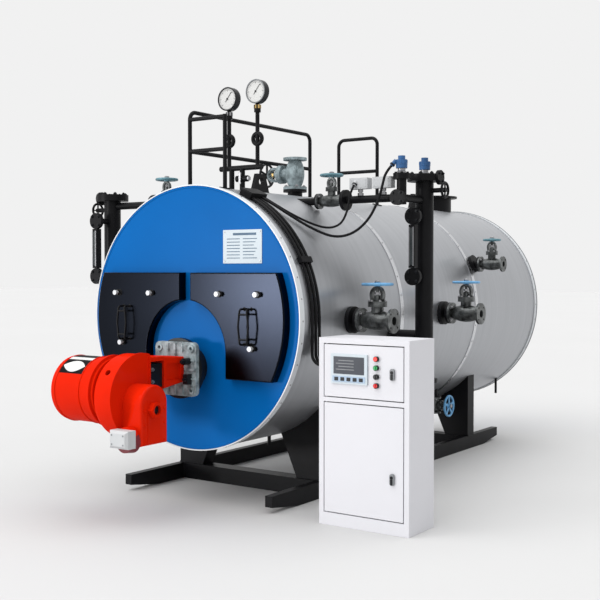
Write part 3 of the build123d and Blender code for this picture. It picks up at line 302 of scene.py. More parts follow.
def powder_coat():
    return surface("powder_coat", finishes().cabinet, shade=0.02, roughness=0.44, spread=0.04,
                   mottle=1.5, grain=420.0, gloss=0.1)


def dial_white():
    return surface("dial_white", (0.60, 0.60, 0.59), shade=0.02, spread=0.04,
                   mottle=8.0, grain=300.0, bump=0.01, gloss=0.08)


def ink():
    return surface("ink_black", (0.02, 0.02, 0.022), roughness=0.5, spread=0.05,
                   mottle=20.0, grain=300.0, bump=0.02)


def wrap_black():
    return surface("wrap_black", (0.004, 0.004, 0.005), shade=0.2, roughness=0.5, spread=0.06,
                   mottle=9.0, grain=200.0, bump=0.02, gloss=0.06)


def case_black():
    return surface("case_black", (0.008, 0.009, 0.011), shade=0.15, roughness=0.3, spread=0.06,
                   mottle=9.0, grain=200.0, bump=0.04, coat=0.1, gloss=0.15)


def screen_dark():
    return surface("screen_dark", (0.055, 0.06, 0.072), shade=0.12, roughness=0.3, spread=0.03,
                   mottle=6.0, bump=0.0, gloss=0.1)


def panel_grey():
    return surface("panel_grey", (0.20, 0.21, 0.22), shade=0.08, roughness=0.42, spread=0.06,
                   mottle=8.0, grain=300.0, bump=0.04)


def strip_blue():
    return surface("strip_pale_blue", (0.32, 0.42, 0.54), shade=0.05, roughness=0.4, spread=0.05,
                   mottle=8.0, grain=300.0, bump=0.02)


def signal(name, tint):
    return surface(f"signal_{name}", tint, shade=0.06, roughness=0.22, spread=0.04,
                   mottle=12.0, grain=200.0, bump=0.02, coat=0.5)


def sheath():
    return surface("cable_sheath", (0.006, 0.006, 0.007), shade=0.2, roughness=0.5, spread=0.08,
                   mottle=12.0, grain=260.0, bump=0.08, gloss=0.12)


def plate_white():
    return surface("plate_white", (0.52, 0.58, 0.62), shade=0.03, spread=0.05,
                   mottle=4.0, grain=260.0, bump=0.01, gloss=0.06)


def print_grey():
    return surface("print_grey", (0.10, 0.15, 0.21), roughness=0.5, spread=0.05,
                   mottle=12.0, grain=260.0, bump=0.01, gloss=0.06)


def floor_pale():
    return surface("floor_pale", (0.53, 0.53, 0.53), shade=0.01, roughness=0.8, spread=0.05,
                   mottle=0.3, grain=8.0, bump=0.0)


def dress(material, *names):
    """Gives CAD nodes their finish."""
    for name in names:
        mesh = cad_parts[name].data
        mesh.materials.clear()
        mesh.materials.append(material)


def middle_of(node):
    low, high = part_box(node)
    return (Vector(low) + Vector(high)) / 2


def aim(centre, direction):
    """Placement at a centre with its own Z along a direction."""
    turn = Vector(direction).to_track_quat("Z", "Y").to_matrix()
    return Matrix.Translation(Vector(centre)) @ turn.to_4x4()


def add_rod(mesh, seat, direction, radius, tall, sides=24, top=None):
    """Round bar, or a cone where top differs, standing on its seat."""
    direction = Vector(direction).normalized()
    middle = Vector(seat) + direction * tall / 2
    bmesh.ops.create_cone(mesh, cap_ends=True, segments=sides, radius1=radius,
                          radius2=radius if top is None else top, depth=tall, matrix=aim(middle, direction))


def add_nut(mesh, seat, direction, radius, tall, stud=True):
    """Hexagon nut with a washer and the rounded end of its stud."""
    direction = Vector(direction).normalized()
    seat = Vector(seat)
    add_rod(mesh, seat, direction, radius * 1.2, tall * 0.2, sides=20)
    add_rod(mesh, seat + direction * tall * 0.2, direction, radius, tall * 0.7, sides=6)
    add_rod(mesh, seat + direction * tall * 0.9, direction, radius * 0.97, tall * 0.1, sides=6,
            top=radius * 0.8)
    if stud:
        add_rod(mesh, seat + direction * tall, direction, radius * 0.52, tall * 0.4, sides=12,
                top=radius * 0.4)


def add_block(mesh, centre, size, turn=None):
    """Box about its centre, turned where a rotation is given."""
    place = Matrix.Translation(Vector(centre))
    if turn is not None:
        place = place @ turn.to_4x4()
    bmesh.ops.create_cube(mesh, size=1.0, matrix=place @ Matrix.Diagonal((*size, 1)))


def add_ring(mesh, centre, direction, radius, section, steps=64, sides=12, flat=1.0):
    """Closed ring of round section, or of oval section where flat differs from one."""
    place = aim(centre, direction)
    rows = []
    for step in range(steps):
        turn = 2 * math.pi * step / steps
        row = []
        for side in range(sides):
            tilt = 2 * math.pi * side / sides
            reach = radius + section * math.cos(tilt)
            point = Vector((reach * math.cos(turn), reach * math.sin(turn), section * flat * math.sin(tilt)))
            row.append(mesh.verts.new(place @ point))
        rows.append(row)
    for step in range(steps):
        here, ahead = rows[step], rows[(step + 1) % steps]
        for side in range(sides):
            other = (side + 1) % sides
            mesh.faces.new((here[side], ahead[side], ahead[other], here[other]))


def around(centre, direction, radius, count, start=0.0):
    """Points on a circle about a direction, and the outward direction at each."""
    place = aim(centre, direction)
    spots = []
    for index in range(count):
        turn = start + 2 * math.pi * index / count
        local = Vector((math.cos(turn), math.sin(turn), 0))
        spots.append((place @ (local * radius), (place.to_3x3() @ local).normalized()))
    return spots


def add_nut_circle(mesh, centre, direction, facing, circle, count, radius, tall, start=EIGHTH_TURN,
                   stud=True):
    """Nuts on a bolt circle about a direction, each standing along its facing."""
    for spot, _ in around(centre, direction, circle, count, start):
        add_nut(mesh, spot, facing, radius, tall, stud)


def add_piece(name, mesh, material, body=ROOT):
    """Makes an object of the mesh, with smooth faces and sharp creases, that rides on a body."""
    bmesh.ops.recalc_face_normals(mesh, faces=mesh.faces)
    crease = math.radians(32.0)
    for edge in mesh.edges:
        if len(edge.link_faces) == 2 and edge.calc_face_angle(0.0) > crease:
            edge.smooth = False
    for face in mesh.faces:
        face.smooth = True
    data = bpy.data.meshes.new(name)
    mesh.to_mesh(data)
    mesh.free()
    data.materials.append(material)
    piece = bpy.data.objects.new(name, data)
    bpy.context.scene.collection.objects.link(piece)
    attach(piece, body)


class BOILER_OT_jacket(Operator):
    """Brushed cladding with its bands, rims and screws"""

    bl_idname = "boiler.jacket"
    bl_label = "Jacket"

    def execute(self, context):
        dress(brushed_sheet(), "jacket_front", "jacket_middle", "jacket_rear")
        dress(polished_band(), "seam_bands")
        dress(pale_rim(), "end_rims")
        sizes = fasteners()
        head = sizes.screw_radius
        band_half, rim_inset = 0.022, 0.03
        screws = bmesh.new()
        for node, inset in (("seam_bands", band_half), ("end_rims", rim_inset)):
            low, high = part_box(node)
            reach = (high[0] - low[0]) / 2
            for row in (low[1] + inset, high[1] - inset):
                for spot, outward in around((0, row, AXIS_HEIGHT), FORWARD, reach, sizes.screw_count):
                    add_rod(screws, spot, outward, head, tall=0.003, sides=10, top=head * 0.5)
        add_piece("cladding_screws", screws, zinc())
        return {"FINISHED"}


class BOILER_OT_front_end(Operator):
    """Front plate, smoke box doors with knobs and grips, and the blank data plate"""

    bl_idname = "boiler.front_end"
    bl_label = "Front end"

    def execute(self, context):
        dress(blue_gloss(), "front_plate")
        dress(graphite(), "left_smoke_door", "right_smoke_door")
        dress(bright_steel(), "door_knobs")
        dress(black_paint(), "door_handles")
        dress(plate_white(), "data_plate")
        bead_inset = 0.008
        bead = bmesh.new()
        add_ring(bead, (0, FRONT_FACE, AXIS_HEIGHT), FORWARD, BARREL_RADIUS - bead_inset, fasteners().bead,
                 steps=160, sides=10, flat=0.6)
        add_piece("front_edge_bead", bead, blue_gloss())
        self.plate_rivets()
        self.plate_lines()
        door_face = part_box("right_smoke_door")[0][1]
        self.knob_washers_painted_shadow(door_face)
        self.handle_feet(door_face)
        return {"FINISHED"}

    def plate_rivets(self):
        low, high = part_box("data_plate")
        head = fasteners().rivet_radius
        inset = 0.012
        rivets = bmesh.new()
        for x in (low[0] + inset, high[0] - inset):
            for z in (low[2] + inset, high[2] - inset):
                add_rod(rivets, (x, low[1], z), FORWARD, head, tall=0.0025, sides=16, top=head * 0.5)
        add_piece("data_plate_rivets", rivets, zinc())

    def plate_lines(self):
        """Plain bars on the plate, laid out in shares of its width and height."""
        low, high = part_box("data_plate")
        width = high[0] - low[0]
        tall = high[2] - low[2]
        ink_depth = 0.0008
        heading = (0.56, 0.13, 0.6, 0.07)
        bars = [heading]
        rows, first_row, pitch, thick = 7, 0.27, 0.095, 0.022
        for row in range(rows):
            down = first_row + pitch * row
            shorter = row % 3
            bars.append((0.27, down, 0.34, thick))
            bars.append((0.70 - 0.02 * shorter, down, 0.36 - 0.04 * shorter, thick))
        lines = bmesh.new()
        for across, down, span, height in bars:
            add_block(lines, (low[0] + width * across, low[1] - ink_depth / 2, high[2] - tall * down),
                      (width * span, ink_depth, tall * height))
        add_piece("data_plate_lines", lines, print_grey())

    def knob_washers_painted_shadow(self, door_face):
        """Washers under the knobs, whose places are read from their solid; their black colour is painted
        shadow around each knob.
        """
        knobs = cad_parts["door_knobs"]
        cell = 0.12
        clusters = {}
        for corner in knobs.data.vertices:
            point = knobs.matrix_world @ corner.co
            clusters.setdefault((round(point.x / cell), round(point.z / cell)), []).append(point)
        washers = bmesh.new()
        for points in clusters.values():
            x, z = ((min(p[axis] for p in points) + max(p[axis] for p in points)) / 2 for axis in (0, 2))
            add_rod(washers, (x, door_face, z), FORWARD, radius=0.0205, tall=0.004, sides=28, top=0.018)
        add_piece("knob_washers_painted_shadow", washers, black_paint())

    def handle_feet(self, door_face):
        low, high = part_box("door_handles")
        handle_x, bar_half, inset = 0.4805, 0.025, 0.006
        feet = bmesh.new()
        for side in (-1, 1):
            for offset in (-bar_half, bar_half):
                for z in (low[2] + inset, high[2] - inset):
                    add_rod(feet, (side * handle_x + offset, door_face, z), FORWARD,
                            radius=0.012, tall=0.004, top=0.009)
        add_piece("handle_feet", feet, black_paint())


class BOILER_OT_burner(Operator):
    """Burner with its flange ribs and lugs, sight hole, motor wrap and damper drive"""

    bl_idname = "boiler.burner"
    bl_label = "Burner"

    def execute(self, context):
        dress(red_gloss(), "burner_head", "fan_housing", "burner_motor", "air_box")
        dress(cast_alloy(), "burner_flange")
        dress(case_black(), "burner_port")
        dress(white_plastic(), "damper_drive")
        self.flange()
        self.fan()
        self.motor()
        self.air_box()
        self.damper()
        return {"FINISHED"}

    def flange(self):
        centre = middle_of("burner_flange")
        pad_depth = 0.008
        plate_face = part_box("burner_flange")[0][1] + pad_depth
        ribs = bmesh.new()
        for turn in (0, 90, 180, 270):
            spin = Matrix.Rotation(math.radians(turn), 3, "Y")
            for shift, reach, rise, size in FLANGE_RIBS:
                spot = spin @ Vector((shift, 0, reach))
                add_block(ribs, (centre.x + spot.x, plate_face - rise, centre.z + spot.z), size, spin)
        add_piece("burner_flange_ribs", ribs, cast_alloy())
        lugs = bmesh.new()
        boss_x, boss_z, boss_long = centre.x + 0.105, centre.z + 0.05, 0.05
        add_rod(lugs, (boss_x, plate_face, boss_z), FORWARD, radius=0.02, tall=boss_long, sides=28)
        add_rod(lugs, (boss_x, plate_face - boss_long, boss_z), FORWARD, radius=0.013, tall=0.018, sides=6)
        latch_x, latch_z, latch_long = centre.x + 0.11, centre.z - 0.055, 0.04
        add_block(lugs, (latch_x, plate_face - latch_long / 2, latch_z), (0.034, latch_long, 0.06))
        add_rod(lugs, (latch_x, plate_face - latch_long, latch_z), FORWARD,
                radius=0.011, tall=0.016, sides=6)
        add_piece("burner_hinge_lugs", lugs, case_black())

    def fan(self):
        drum = Vector((-0.013, FRONT_FACE - 0.5, AXIS_HEIGHT - 0.425))
        slope = math.radians(38)
        outward = Vector((0, -math.cos(slope), math.sin(slope)))
        # A black disc in the sight hole: painted shade standing in for the dark inside of the hole.
        shade_disc_seat = 0.205
        sight = bmesh.new()
        add_rod(sight, drum + outward * shade_disc_seat, outward, radius=0.0176, tall=0.012, sides=32)
        add_piece("sight_hole_painted_shade", sight, wrap_black())
        head_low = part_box("burner_head")[0]
        sleeve_y = head_low[1] + 0.02
        pin_x, pin_long = 0.046, 0.018
        pins = bmesh.new()
        for z in (head_low[2] + 0.05, head_low[2] + 0.12):
            add_rod(pins, (pin_x, sleeve_y, z), RIGHT, radius=0.012, tall=pin_long, sides=20)
            add_rod(pins, (pin_x + pin_long, sleeve_y, z), RIGHT, radius=0.008, tall=0.008, sides=6)
        add_piece("head_hinge_pins", pins, zinc())

    def motor(self):
        centre = middle_of("burner_motor")
        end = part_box("burner_motor")[0][0]
        axis = (end, centre.y, centre.z)
        reach = 0.19
        wrap_reach, print_reach = reach + 0.0012, reach + 0.0022
        wrap_span, badge_span = (end + 0.05, end + 0.235), (end + 0.056, end + 0.229)
        wrap = self.patch(centre, wrap_reach, wrap_span, (33, 150))
        add_piece("motor_wrap", wrap, wrap_black())
        badge = self.patch(centre, print_reach, badge_span, (36, 61), lens=True)
        add_piece("motor_blank_badge", badge, dial_white())
        stripe = self.patch(centre, print_reach, wrap_span, (66, 75))
        add_piece("motor_pale_stripe", stripe, dial_white())
        bands = bmesh.new()
        for edge in (end + 0.044, end + 0.24):
            add_ring(bands, (edge, centre.y, centre.z), RIGHT, reach + 0.0005,
                     section=0.004, steps=96, sides=8)
        add_piece("motor_bands", bands, red_gloss())
        ribs = bmesh.new()
        for radius in (0.06, 0.1, 0.14):
            add_ring(ribs, axis, RIGHT, radius, section=0.005, steps=72, sides=8)
        bolt_circle = 0.158
        for spot, _ in around(axis, -RIGHT, bolt_circle, 4, EIGHTH_TURN):
            add_rod(ribs, spot, -RIGHT, radius=0.008, tall=0.006, sides=6)
        add_piece("motor_end_ribs", ribs, red_gloss())

    def patch(self, centre, reach, span, sweep, lens=False):
        """Thin curved patch on the motor, along a span and between two angles above the front."""
        patch = bmesh.new()
        steps, rows = 40, 24
        grid = []
        for row in range(rows + 1):
            along = row / rows
            x = span[0] + (span[1] - span[0]) * along
            line = []
            for step in range(steps + 1):
                part = step / steps
                if lens:
                    swell = 1 - (2 * along - 1) ** 2
                    part = 0.5 + (part - 0.5) * swell
                angle = math.radians(sweep[0] + (sweep[1] - sweep[0]) * part)
                spot = (x, centre.y - reach * math.cos(angle), centre.z + reach * math.sin(angle))
                line.append(patch.verts.new(spot))
            grid.append(line)
        for here, ahead in zip(grid, grid[1:]):
            for step in range(steps):
                patch.faces.new((here[step], here[step + 1], ahead[step + 1], ahead[step]))
        bmesh.ops.remove_doubles(patch, verts=patch.verts, dist=0.00005)
        bmesh.ops.solidify(patch, geom=patch.faces[:], thickness=-0.001)
        return patch

    def air_box(self):
        low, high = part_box("air_box")
        drive_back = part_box("damper_drive")[1][1]
        boss_long, collar_long = 0.034, 0.04
        face = high[0] - boss_long
        middle_y = (drive_back + collar_long + high[1]) / 2
        ridge = bmesh.new()
        add_block(ridge, (face, middle_y - 0.055, (low[2] + high[2]) / 2 - 0.03), (0.008, 0.006, 0.24))
        for z in (low[2] + 0.03, low[2] + 0.13, low[2] + 0.21):
            for y in (middle_y - 0.08, middle_y + 0.08):
                add_rod(ridge, (face, y, z), RIGHT, radius=0.0075, tall=0.006, sides=6)
        add_piece("air_box_ridge", ridge, red_gloss())
        plug = bmesh.new()
        add_rod(plug, (face + 0.008, middle_y - 0.011, high[2] - 0.137), RIGHT,
                radius=0.0268, tall=0.006, sides=32)
        add_piece("air_box_plug", plug, case_black())

    def damper(self):
        low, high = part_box("damper_drive")
        middle = middle_of("damper_drive")
        collar = bmesh.new()
        add_rod(collar, (middle.x, high[1] + 0.04, low[2] + 0.03), FORWARD,
                radius=0.066, tall=0.06, sides=48, top=0.06)
        add_piece("damper_collar", collar, dark_red())
        inset_x, inset_z = 0.026, 0.024
        screws = bmesh.new()
        for x in (low[0] + inset_x, high[0] - inset_x):
            for z in (low[2] + inset_z, high[2] - inset_z):
                add_rod(screws, (x, low[1], z), FORWARD, radius=0.005, tall=0.002, sides=16)
        add_piece("drive_lid_screws", screws, panel_grey())


class BOILER_OT_base(Operator):
    """Skids, beams and legs with their welds"""

    bl_idname = "boiler.base"
    bl_label = "Base"

    def execute(self, context):
        dress(black_paint(), "skids", "cross_beams", "saddle_legs", "drain_pipes")
        bead = fasteners().bead
        sides = (-1, 1)
        skid_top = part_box("skids")[1][2]
        leg_low, leg_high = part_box("saddle_legs")
        leg_depth, corner_weld = 0.11, 0.05
        welds = bmesh.new()
        for edge in (leg_low[1], leg_high[1] - leg_depth):
            for y in (edge, edge + leg_depth):
                for side in sides:
                    add_rod(welds, (side * leg_high[0], y, skid_top), (-side, 0, 0), bead, corner_weld,
                            sides=10)
            for side in sides:
                add_rod(welds, (side * leg_high[0], edge, skid_top), BACK, bead, leg_depth, sides=10)
        beam_low, beam_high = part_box("cross_beams")
        beam_depth, foot = 0.11, 0.008
        for y in (beam_low[1], beam_low[1] + beam_depth, beam_high[1] - beam_depth, beam_high[1]):
            for side in sides:
                add_rod(welds, (side * beam_high[0], y, foot), UP, bead, beam_high[2] - 2 * foot, sides=10)
        add_piece("base_welds", welds, black_paint())
        return {"FINISHED"}


class BOILER_OT_valves(Operator):
    """Valves with their flange and bonnet nuts, and handwheels with cap nuts"""

    bl_idname = "boiler.valves"
    bl_label = "Valves"

    def execute(self, context):
        for name in VALVES:
            dress(cast_alloy() if name == "steam" else cast_iron(), f"{name}_valve")
        dress(wheel_paint(), "front_side_wheel", "rear_side_wheel", "drain_wheel")
        dress(wheel_teal(), "upper_side_wheel", "right_level_wheel", "left_level_wheel")
        dress(case_black(), "steam_wheel")
        dress(black_paint(), "nozzles")
        for name, (run, stem) in VALVES.items():
            self.fasten(name, run, stem)
        return {"FINISHED"}

    def shape(self, name, run, stem):
        """Centre, length of the run and flange radius of a valve, read from its solid."""
        low, high = (Vector(corner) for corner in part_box(f"{name}_valve"))
        size = high - low
        flange = size.y / 2
        along_stem = size.dot(Vector([abs(v) for v in stem]))
        centre = (low + high) / 2 + stem * (flange - along_stem / 2)
        return centre, abs(size.dot(run)), flange

    def fasten(self, name, run, stem):
        centre, run_long, flange = self.shape(name, run, stem)
        silver = name == "steam"
        thick = 0.22 * flange
        nut = min(fasteners().nut_radius, 0.17 * flange)
        nuts = bmesh.new()
        for end in (-1,) if name in FREE_OUTLET else (-1, 1):
            seat = centre + run * end * (run_long / 2 - thick)
            add_nut_circle(nuts, seat, run, -run * end, 0.77 * flange, 4, nut, nut * 0.85)
        hub_below = 0.012
        rise = (middle_of(f"{name}_wheel") - centre).dot(stem) - hub_below
        bonnet = centre + stem * (0.48 * rise + thick)
        add_nut_circle(nuts, bonnet, stem, stem, 0.66 * flange, 6, nut * 0.75, nut * 0.6, start=0.3)
        add_piece(f"{name}_valve_nuts", nuts, zinc())
        gland = bmesh.new()
        add_rod(gland, bonnet + stem * (rise * 0.2), stem, 0.2 * flange + 0.004, tall=0.014, sides=6)
        add_piece(f"{name}_gland_nut", gland, brass() if silver else zinc())
        cap = bmesh.new()
        cap_seat, cap_tall = centre + stem * (rise + 2 * hub_below), 0.009
        add_rod(cap, cap_seat, stem, radius=0.016, tall=cap_tall, sides=6)
        add_rod(cap, cap_seat + stem * cap_tall, stem, radius=0.012, tall=0.004, sides=20, top=0.006)
        add_piece(f"{name}_wheel_nut", cap, zinc(), f"{name}_handwheel")


class BOILER_OT_columns(Operator):
    """Water columns, gauge glasses, level lines, electrodes and pressure switches"""

    bl_idname = "boiler.columns"
    bl_label = "Water columns"

    def execute(self, context):
        dress(black_paint(), "right_water_column", "left_water_column", "level_lines", "gauge_glasses")
        dress(cap_blue(), "level_electrodes")
        dress(white_plastic(), "pressure_switches")
        self.nuts()
        self.glasses()
        self.caps()
        self.switches()
        return {"FINISHED"}

    def nuts(self):
        nuts = bmesh.new()
        for node, side in (("right_water_column", 1), ("left_water_column", -1)):
            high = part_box(node)[1]
            outward = RIGHT * side
            x = side * COLUMN_X
            y = high[1] - 0.11
            branch = x + side * 0.116
            add_nut_circle(nuts, (x, y, high[2] - 0.024), UP, UP, 0.09, 8, 0.012, 0.011, start=0.2)
            add_nut_circle(nuts, (branch, y, high[2] - 0.046), outward, outward, 0.035, 4, 0.008, 0.008)
            cock_face = y - 0.163
            for height in (0.249, 0.625):
                cock = (x, cock_face, AXIS_HEIGHT + height)
                add_nut_circle(nuts, cock, FORWARD, FORWARD, 0.041, 4, 0.009, 0.009)
        add_nut_circle(nuts, (COLUMN_X, LINE_Y, ELECTRODE_SEAT), UP, UP, 0.041, 6, 0.008, 0.008,
                       start=0.0, stud=False)
        tee_face = LINE_Y - 0.065
        add_nut_circle(nuts, (COLUMN_X, tee_face, LINE_HEIGHT), FORWARD, FORWARD, 0.036, 4, 0.008, 0.008)
        add_piece("column_nuts", nuts, case_black())

    def glasses(self):
        low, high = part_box("gauge_glasses")
        middle = (low[2] + high[2]) / 2
        tall = high[2] - low[2]
        case_depth, bar_shift = 0.042, 0.014
        panes = bmesh.new()
        frames = bmesh.new()
        for side, y in ((1, high[1] - case_depth), (-1, low[1])):
            x = side * COLUMN_X
            add_block(panes, (x, y - 0.002, middle), (0.02, 0.004, tall * 0.86))
            for shift in (-bar_shift, bar_shift):
                add_block(frames, (x + shift, y - 0.004, middle), (0.006, 0.008, tall * 0.9))
        add_piece("gauge_glass_panes", panes, signal("glass_dark", (0.035, 0.042, 0.044)))
        add_piece("gauge_glass_frames", frames, zinc())

    def caps(self):
        hexes = bmesh.new()
        grips = bmesh.new()
        grip_reach, grip_count = 0.0345, 16
        for y, base in ((LINE_Y, ELECTRODE_SEAT), (0.445, CROWN + 0.092)):
            add_rod(hexes, (COLUMN_X, y, base), UP, radius=0.027, tall=0.014, sides=6)
            add_rod(hexes, (COLUMN_X, y, base + 0.016), UP, radius=0.0235, tall=0.012)
            add_ring(grips, (COLUMN_X, y, base + 0.056), UP, grip_reach, section=0.0028, steps=48, sides=8)
            for index in range(grip_count):
                turn = 2 * math.pi * index / grip_count
                across, along = grip_reach * math.cos(turn), grip_reach * math.sin(turn)
                add_rod(grips, (COLUMN_X + across, y + along, base + 0.062), UP,
                        radius=0.0022, tall=0.016, sides=8)
        add_piece("electrode_hexes", hexes, zinc())
        add_piece("electrode_grips", grips, cap_blue())

    def switches(self):
        line_top = LINE_HEIGHT + 0.024
        lid_middle = line_top + 0.0743
        lid_y, screw_y = LINE_Y - 0.0312, LINE_Y - 0.032
        fittings = bmesh.new()
        lids = bmesh.new()
        for x in (0.75, 0.915):
            add_rod(fittings, (x, LINE_Y, line_top), UP, radius=0.019, tall=0.016, sides=6)
            add_rod(fittings, (x, LINE_Y, line_top + 0.022), UP, radius=0.016, tall=0.018, sides=6)
            add_block(lids, (x, lid_y, lid_middle), (0.11, 0.002, 0.05))
            for across in (-0.048, 0.048):
                for rise in (-0.019, 0.019):
                    spot = (x + across, screw_y, lid_middle + rise)
                    add_rod(lids, spot, FORWARD, radius=0.0035, tall=0.0015, sides=12)
        add_piece("switch_fittings", fittings, zinc())
        add_piece("switch_lids", lids, white_plastic())


class BOILER_OT_topside(Operator):
    """Gauges with dials, siphons, lugs, flue and guard rails"""

    bl_idname = "boiler.topside"
    bl_label = "Topside"

    def execute(self, context):
        dress(black_paint(), "gauge_manifold", "lifting_lugs", "flue_outlet", "guard_rails")
        dress(case_black(), "pressure_gauges")
        low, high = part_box("pressure_gauges")
        radius = 0.075
        face = low[1]
        lower, upper = (low[0] + radius, low[2] + radius), (high[0] - radius, high[2] - radius)
        self.gauge(0, lower, face, radius, case_black(), zinc())
        self.gauge(1, upper, face, radius, panel_grey(), brass())
        self.feet()
        self.cock()
        return {"FINISHED"}

    def gauge(self, index, centre, face, radius, bezel_finish, nut_finish):
        x, z = centre
        dial_face = face + 0.005
        dial = bmesh.new()
        add_rod(dial, (x, dial_face, z), FORWARD, radius - 0.0075, tall=0.0012, sides=72)
        add_piece(f"gauge_dial_{index}", dial, dial_white())
        add_piece(f"gauge_marks_{index}", self.marks(x, z, dial_face - 0.0016, radius), ink())
        bezel = bmesh.new()
        add_ring(bezel, (x, face + 0.001, z), FORWARD, radius - 0.0045, section=0.004, steps=96)
        add_piece(f"gauge_bezel_{index}", bezel, bezel_finish)
        nut = bmesh.new()
        add_rod(nut, (x, face + 0.023, z - radius - 0.03), UP, radius=0.0235, tall=0.022, sides=6)
        add_piece(f"gauge_nut_{index}", nut, nut_finish)

    def marks(self, x, z, front, radius):
        """Ticks around a dial, with every fifth one longer, and its needle and hub."""
        marks = bmesh.new()
        first, sweep, count = -135.0, 270.0, 31
        tick_inset, thin = 0.014, 0.0008
        for tick in range(count):
            wide, tall = (0.0024, 0.012) if tick % 5 == 0 else (0.0013, 0.006)
            spin = Matrix.Rotation(math.radians(first + sweep * tick / (count - 1)), 3, "Y")
            spot = spin @ Vector((0, 0, radius - tick_inset - tall / 2))
            add_block(marks, (x + spot.x, front, z + spot.z), (wide, thin, tall), spin)
        needle_shift, needle_rise = 0.014, 0.0012
        spin = Matrix.Rotation(math.radians(38), 3, "Y")
        spot = spin @ Vector((0, 0, needle_shift))
        add_block(marks, (x + spot.x, front - needle_rise, z + spot.z), (0.0034, 0.0012, 0.076), spin)
        add_rod(marks, (x, front, z), FORWARD, radius=0.0065, tall=0.0028, sides=28)
        return marks

    def feet(self):
        """Foot plates of the guard rails, and welds along the lifting lugs."""
        plates = bmesh.new()
        sunk = 0.004
        for x, y in RAIL_FEET:
            outward = Vector((x, 0, math.sqrt(BARREL_RADIUS**2 - x**2)))
            seat = Vector((x, y, AXIS_HEIGHT + outward.z)) - outward.normalized() * sunk
            add_rod(plates, seat, outward, radius=0.036, tall=0.01, sides=32)
        lug_half_thick, lug_wide = 0.0135, 0.18
        for y in LUG_STATIONS:
            for side in (-1, 1):
                add_rod(plates, (side * lug_half_thick, y - lug_wide / 2, CROWN), BACK,
                        radius=0.006, tall=lug_wide, sides=10)
        add_piece("rail_feet", plates, black_paint())

    def cock(self):
        lever = bmesh.new()
        add_rod(lever, (0.129, -0.2, CROWN + 0.068), RIGHT, radius=0.016, tall=0.012, sides=6)
        add_block(lever, (0.085, -0.226, CROWN + 0.07), (0.014, 0.008, 0.07))
        add_piece("gauge_cock_lever", lever, zinc())


class BOILER_OT_cabinet(Operator):
    """Control cabinet with its display, buttons and locks"""

    bl_idname = "boiler.cabinet"
    bl_label = "Control cabinet"

    def execute(self, context):
        dress(powder_coat(), "cabinet_body", "cabinet_upper_door", "cabinet_lower_door")
        dress(plate_white(), "display_panel")
        dress(case_black(), "push_buttons")
        dress(panel_grey(), "upper_lock", "lower_lock")
        self.display()
        self.buttons()
        self.locks()
        return {"FINISHED"}

    def display(self):
        """Screen, key strip and plain lines, laid out in shares of the panel's width and height."""
        low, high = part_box("display_panel")
        width = high[0] - low[0]
        tall = high[2] - low[2]
        middle = (low[0] + high[0]) / 2
        strip_height = 0.16

        def add_bar(mesh, across, up, span, height, depth, rise):
            spot = (middle + width * across, low[1] - rise, low[2] + tall * up)
            add_block(mesh, spot, (width * span, depth, tall * height))

        screen = bmesh.new()
        add_bar(screen, 0.0, 0.62, 0.84, 0.58, depth=0.002, rise=0.001)
        add_piece("display_screen", screen, screen_dark(), "upper_door")
        strip = bmesh.new()
        add_bar(strip, 0.0, strip_height, 0.9, 0.2, depth=0.002, rise=0.001)
        add_piece("display_strip", strip, strip_blue(), "upper_door")
        keys = bmesh.new()
        for key in range(5):
            add_bar(keys, (key - 2) * 0.17, strip_height, 0.1, 0.12, depth=0.003, rise=0.003)
        add_piece("display_keys", keys, case_black(), "upper_door")
        lines = bmesh.new()
        for row in range(4):
            shorter = row % 2
            add_bar(lines, 0.03 * shorter - 0.1, 0.48 + 0.1 * row, 0.5 - 0.08 * shorter, 0.028,
                    depth=0.0008, rise=0.0024)
        add_piece("display_lines", lines, panel_grey(), "upper_door")

    def buttons(self):
        low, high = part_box("push_buttons")
        x = (low[0] + high[0]) / 2
        face = low[1]
        collar = 0.015
        pitch = (high[2] - low[2] - 2 * collar) / (len(BUTTON_TINTS) - 1)
        for row, (name, tint) in enumerate(BUTTON_TINTS):
            z = low[2] + collar + row * pitch
            cap = bmesh.new()
            add_rod(cap, (x, face, z), FORWARD, radius=0.0125, tall=0.005, sides=32, top=0.0115)
            if not name.startswith("lamp"):
                add_block(cap, (x, face - 0.007, z), (0.006, 0.006, 0.02))
            add_piece(f"button_cap_{name}", cap, signal(name, tint), "upper_door")

    def locks(self):
        for node, body in (("upper_lock", "upper_door"), ("lower_lock", "lower_door")):
            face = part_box(node)[0][1]
            centre = middle_of(node)
            key = bmesh.new()
            add_rod(key, (centre.x, face, centre.z + 0.012), FORWARD, radius=0.0085, tall=0.003, sides=28)
            add_block(key, (centre.x, face - 0.0025, centre.z - 0.012), (0.011, 0.005, 0.03))
            add_piece(f"{node}_key", key, case_black(), body)


def cable(name, node, points, diameter):
    """Round cable through the points, in place of its solid."""
    line = bpy.data.curves.new(name, "CURVE")
    line.dimensions = "3D"
    line.resolution_u = 10
    line.bevel_depth = diameter / 2
    line.bevel_resolution = 4
    line.use_fill_caps = True
    spline = line.splines.new("NURBS")
    spline.points.add(len(points) - 1)
    for control, point in zip(spline.points, points):
        control.co = (*point, 1.0)
    spline.order_u = 3
    spline.use_endpoint_u = True
    line.materials.append(sheath())
    piece = bpy.data.objects.new(name, line)
    bpy.context.scene.collection.objects.link(piece)
    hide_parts(node)
    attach(piece, ROOT)


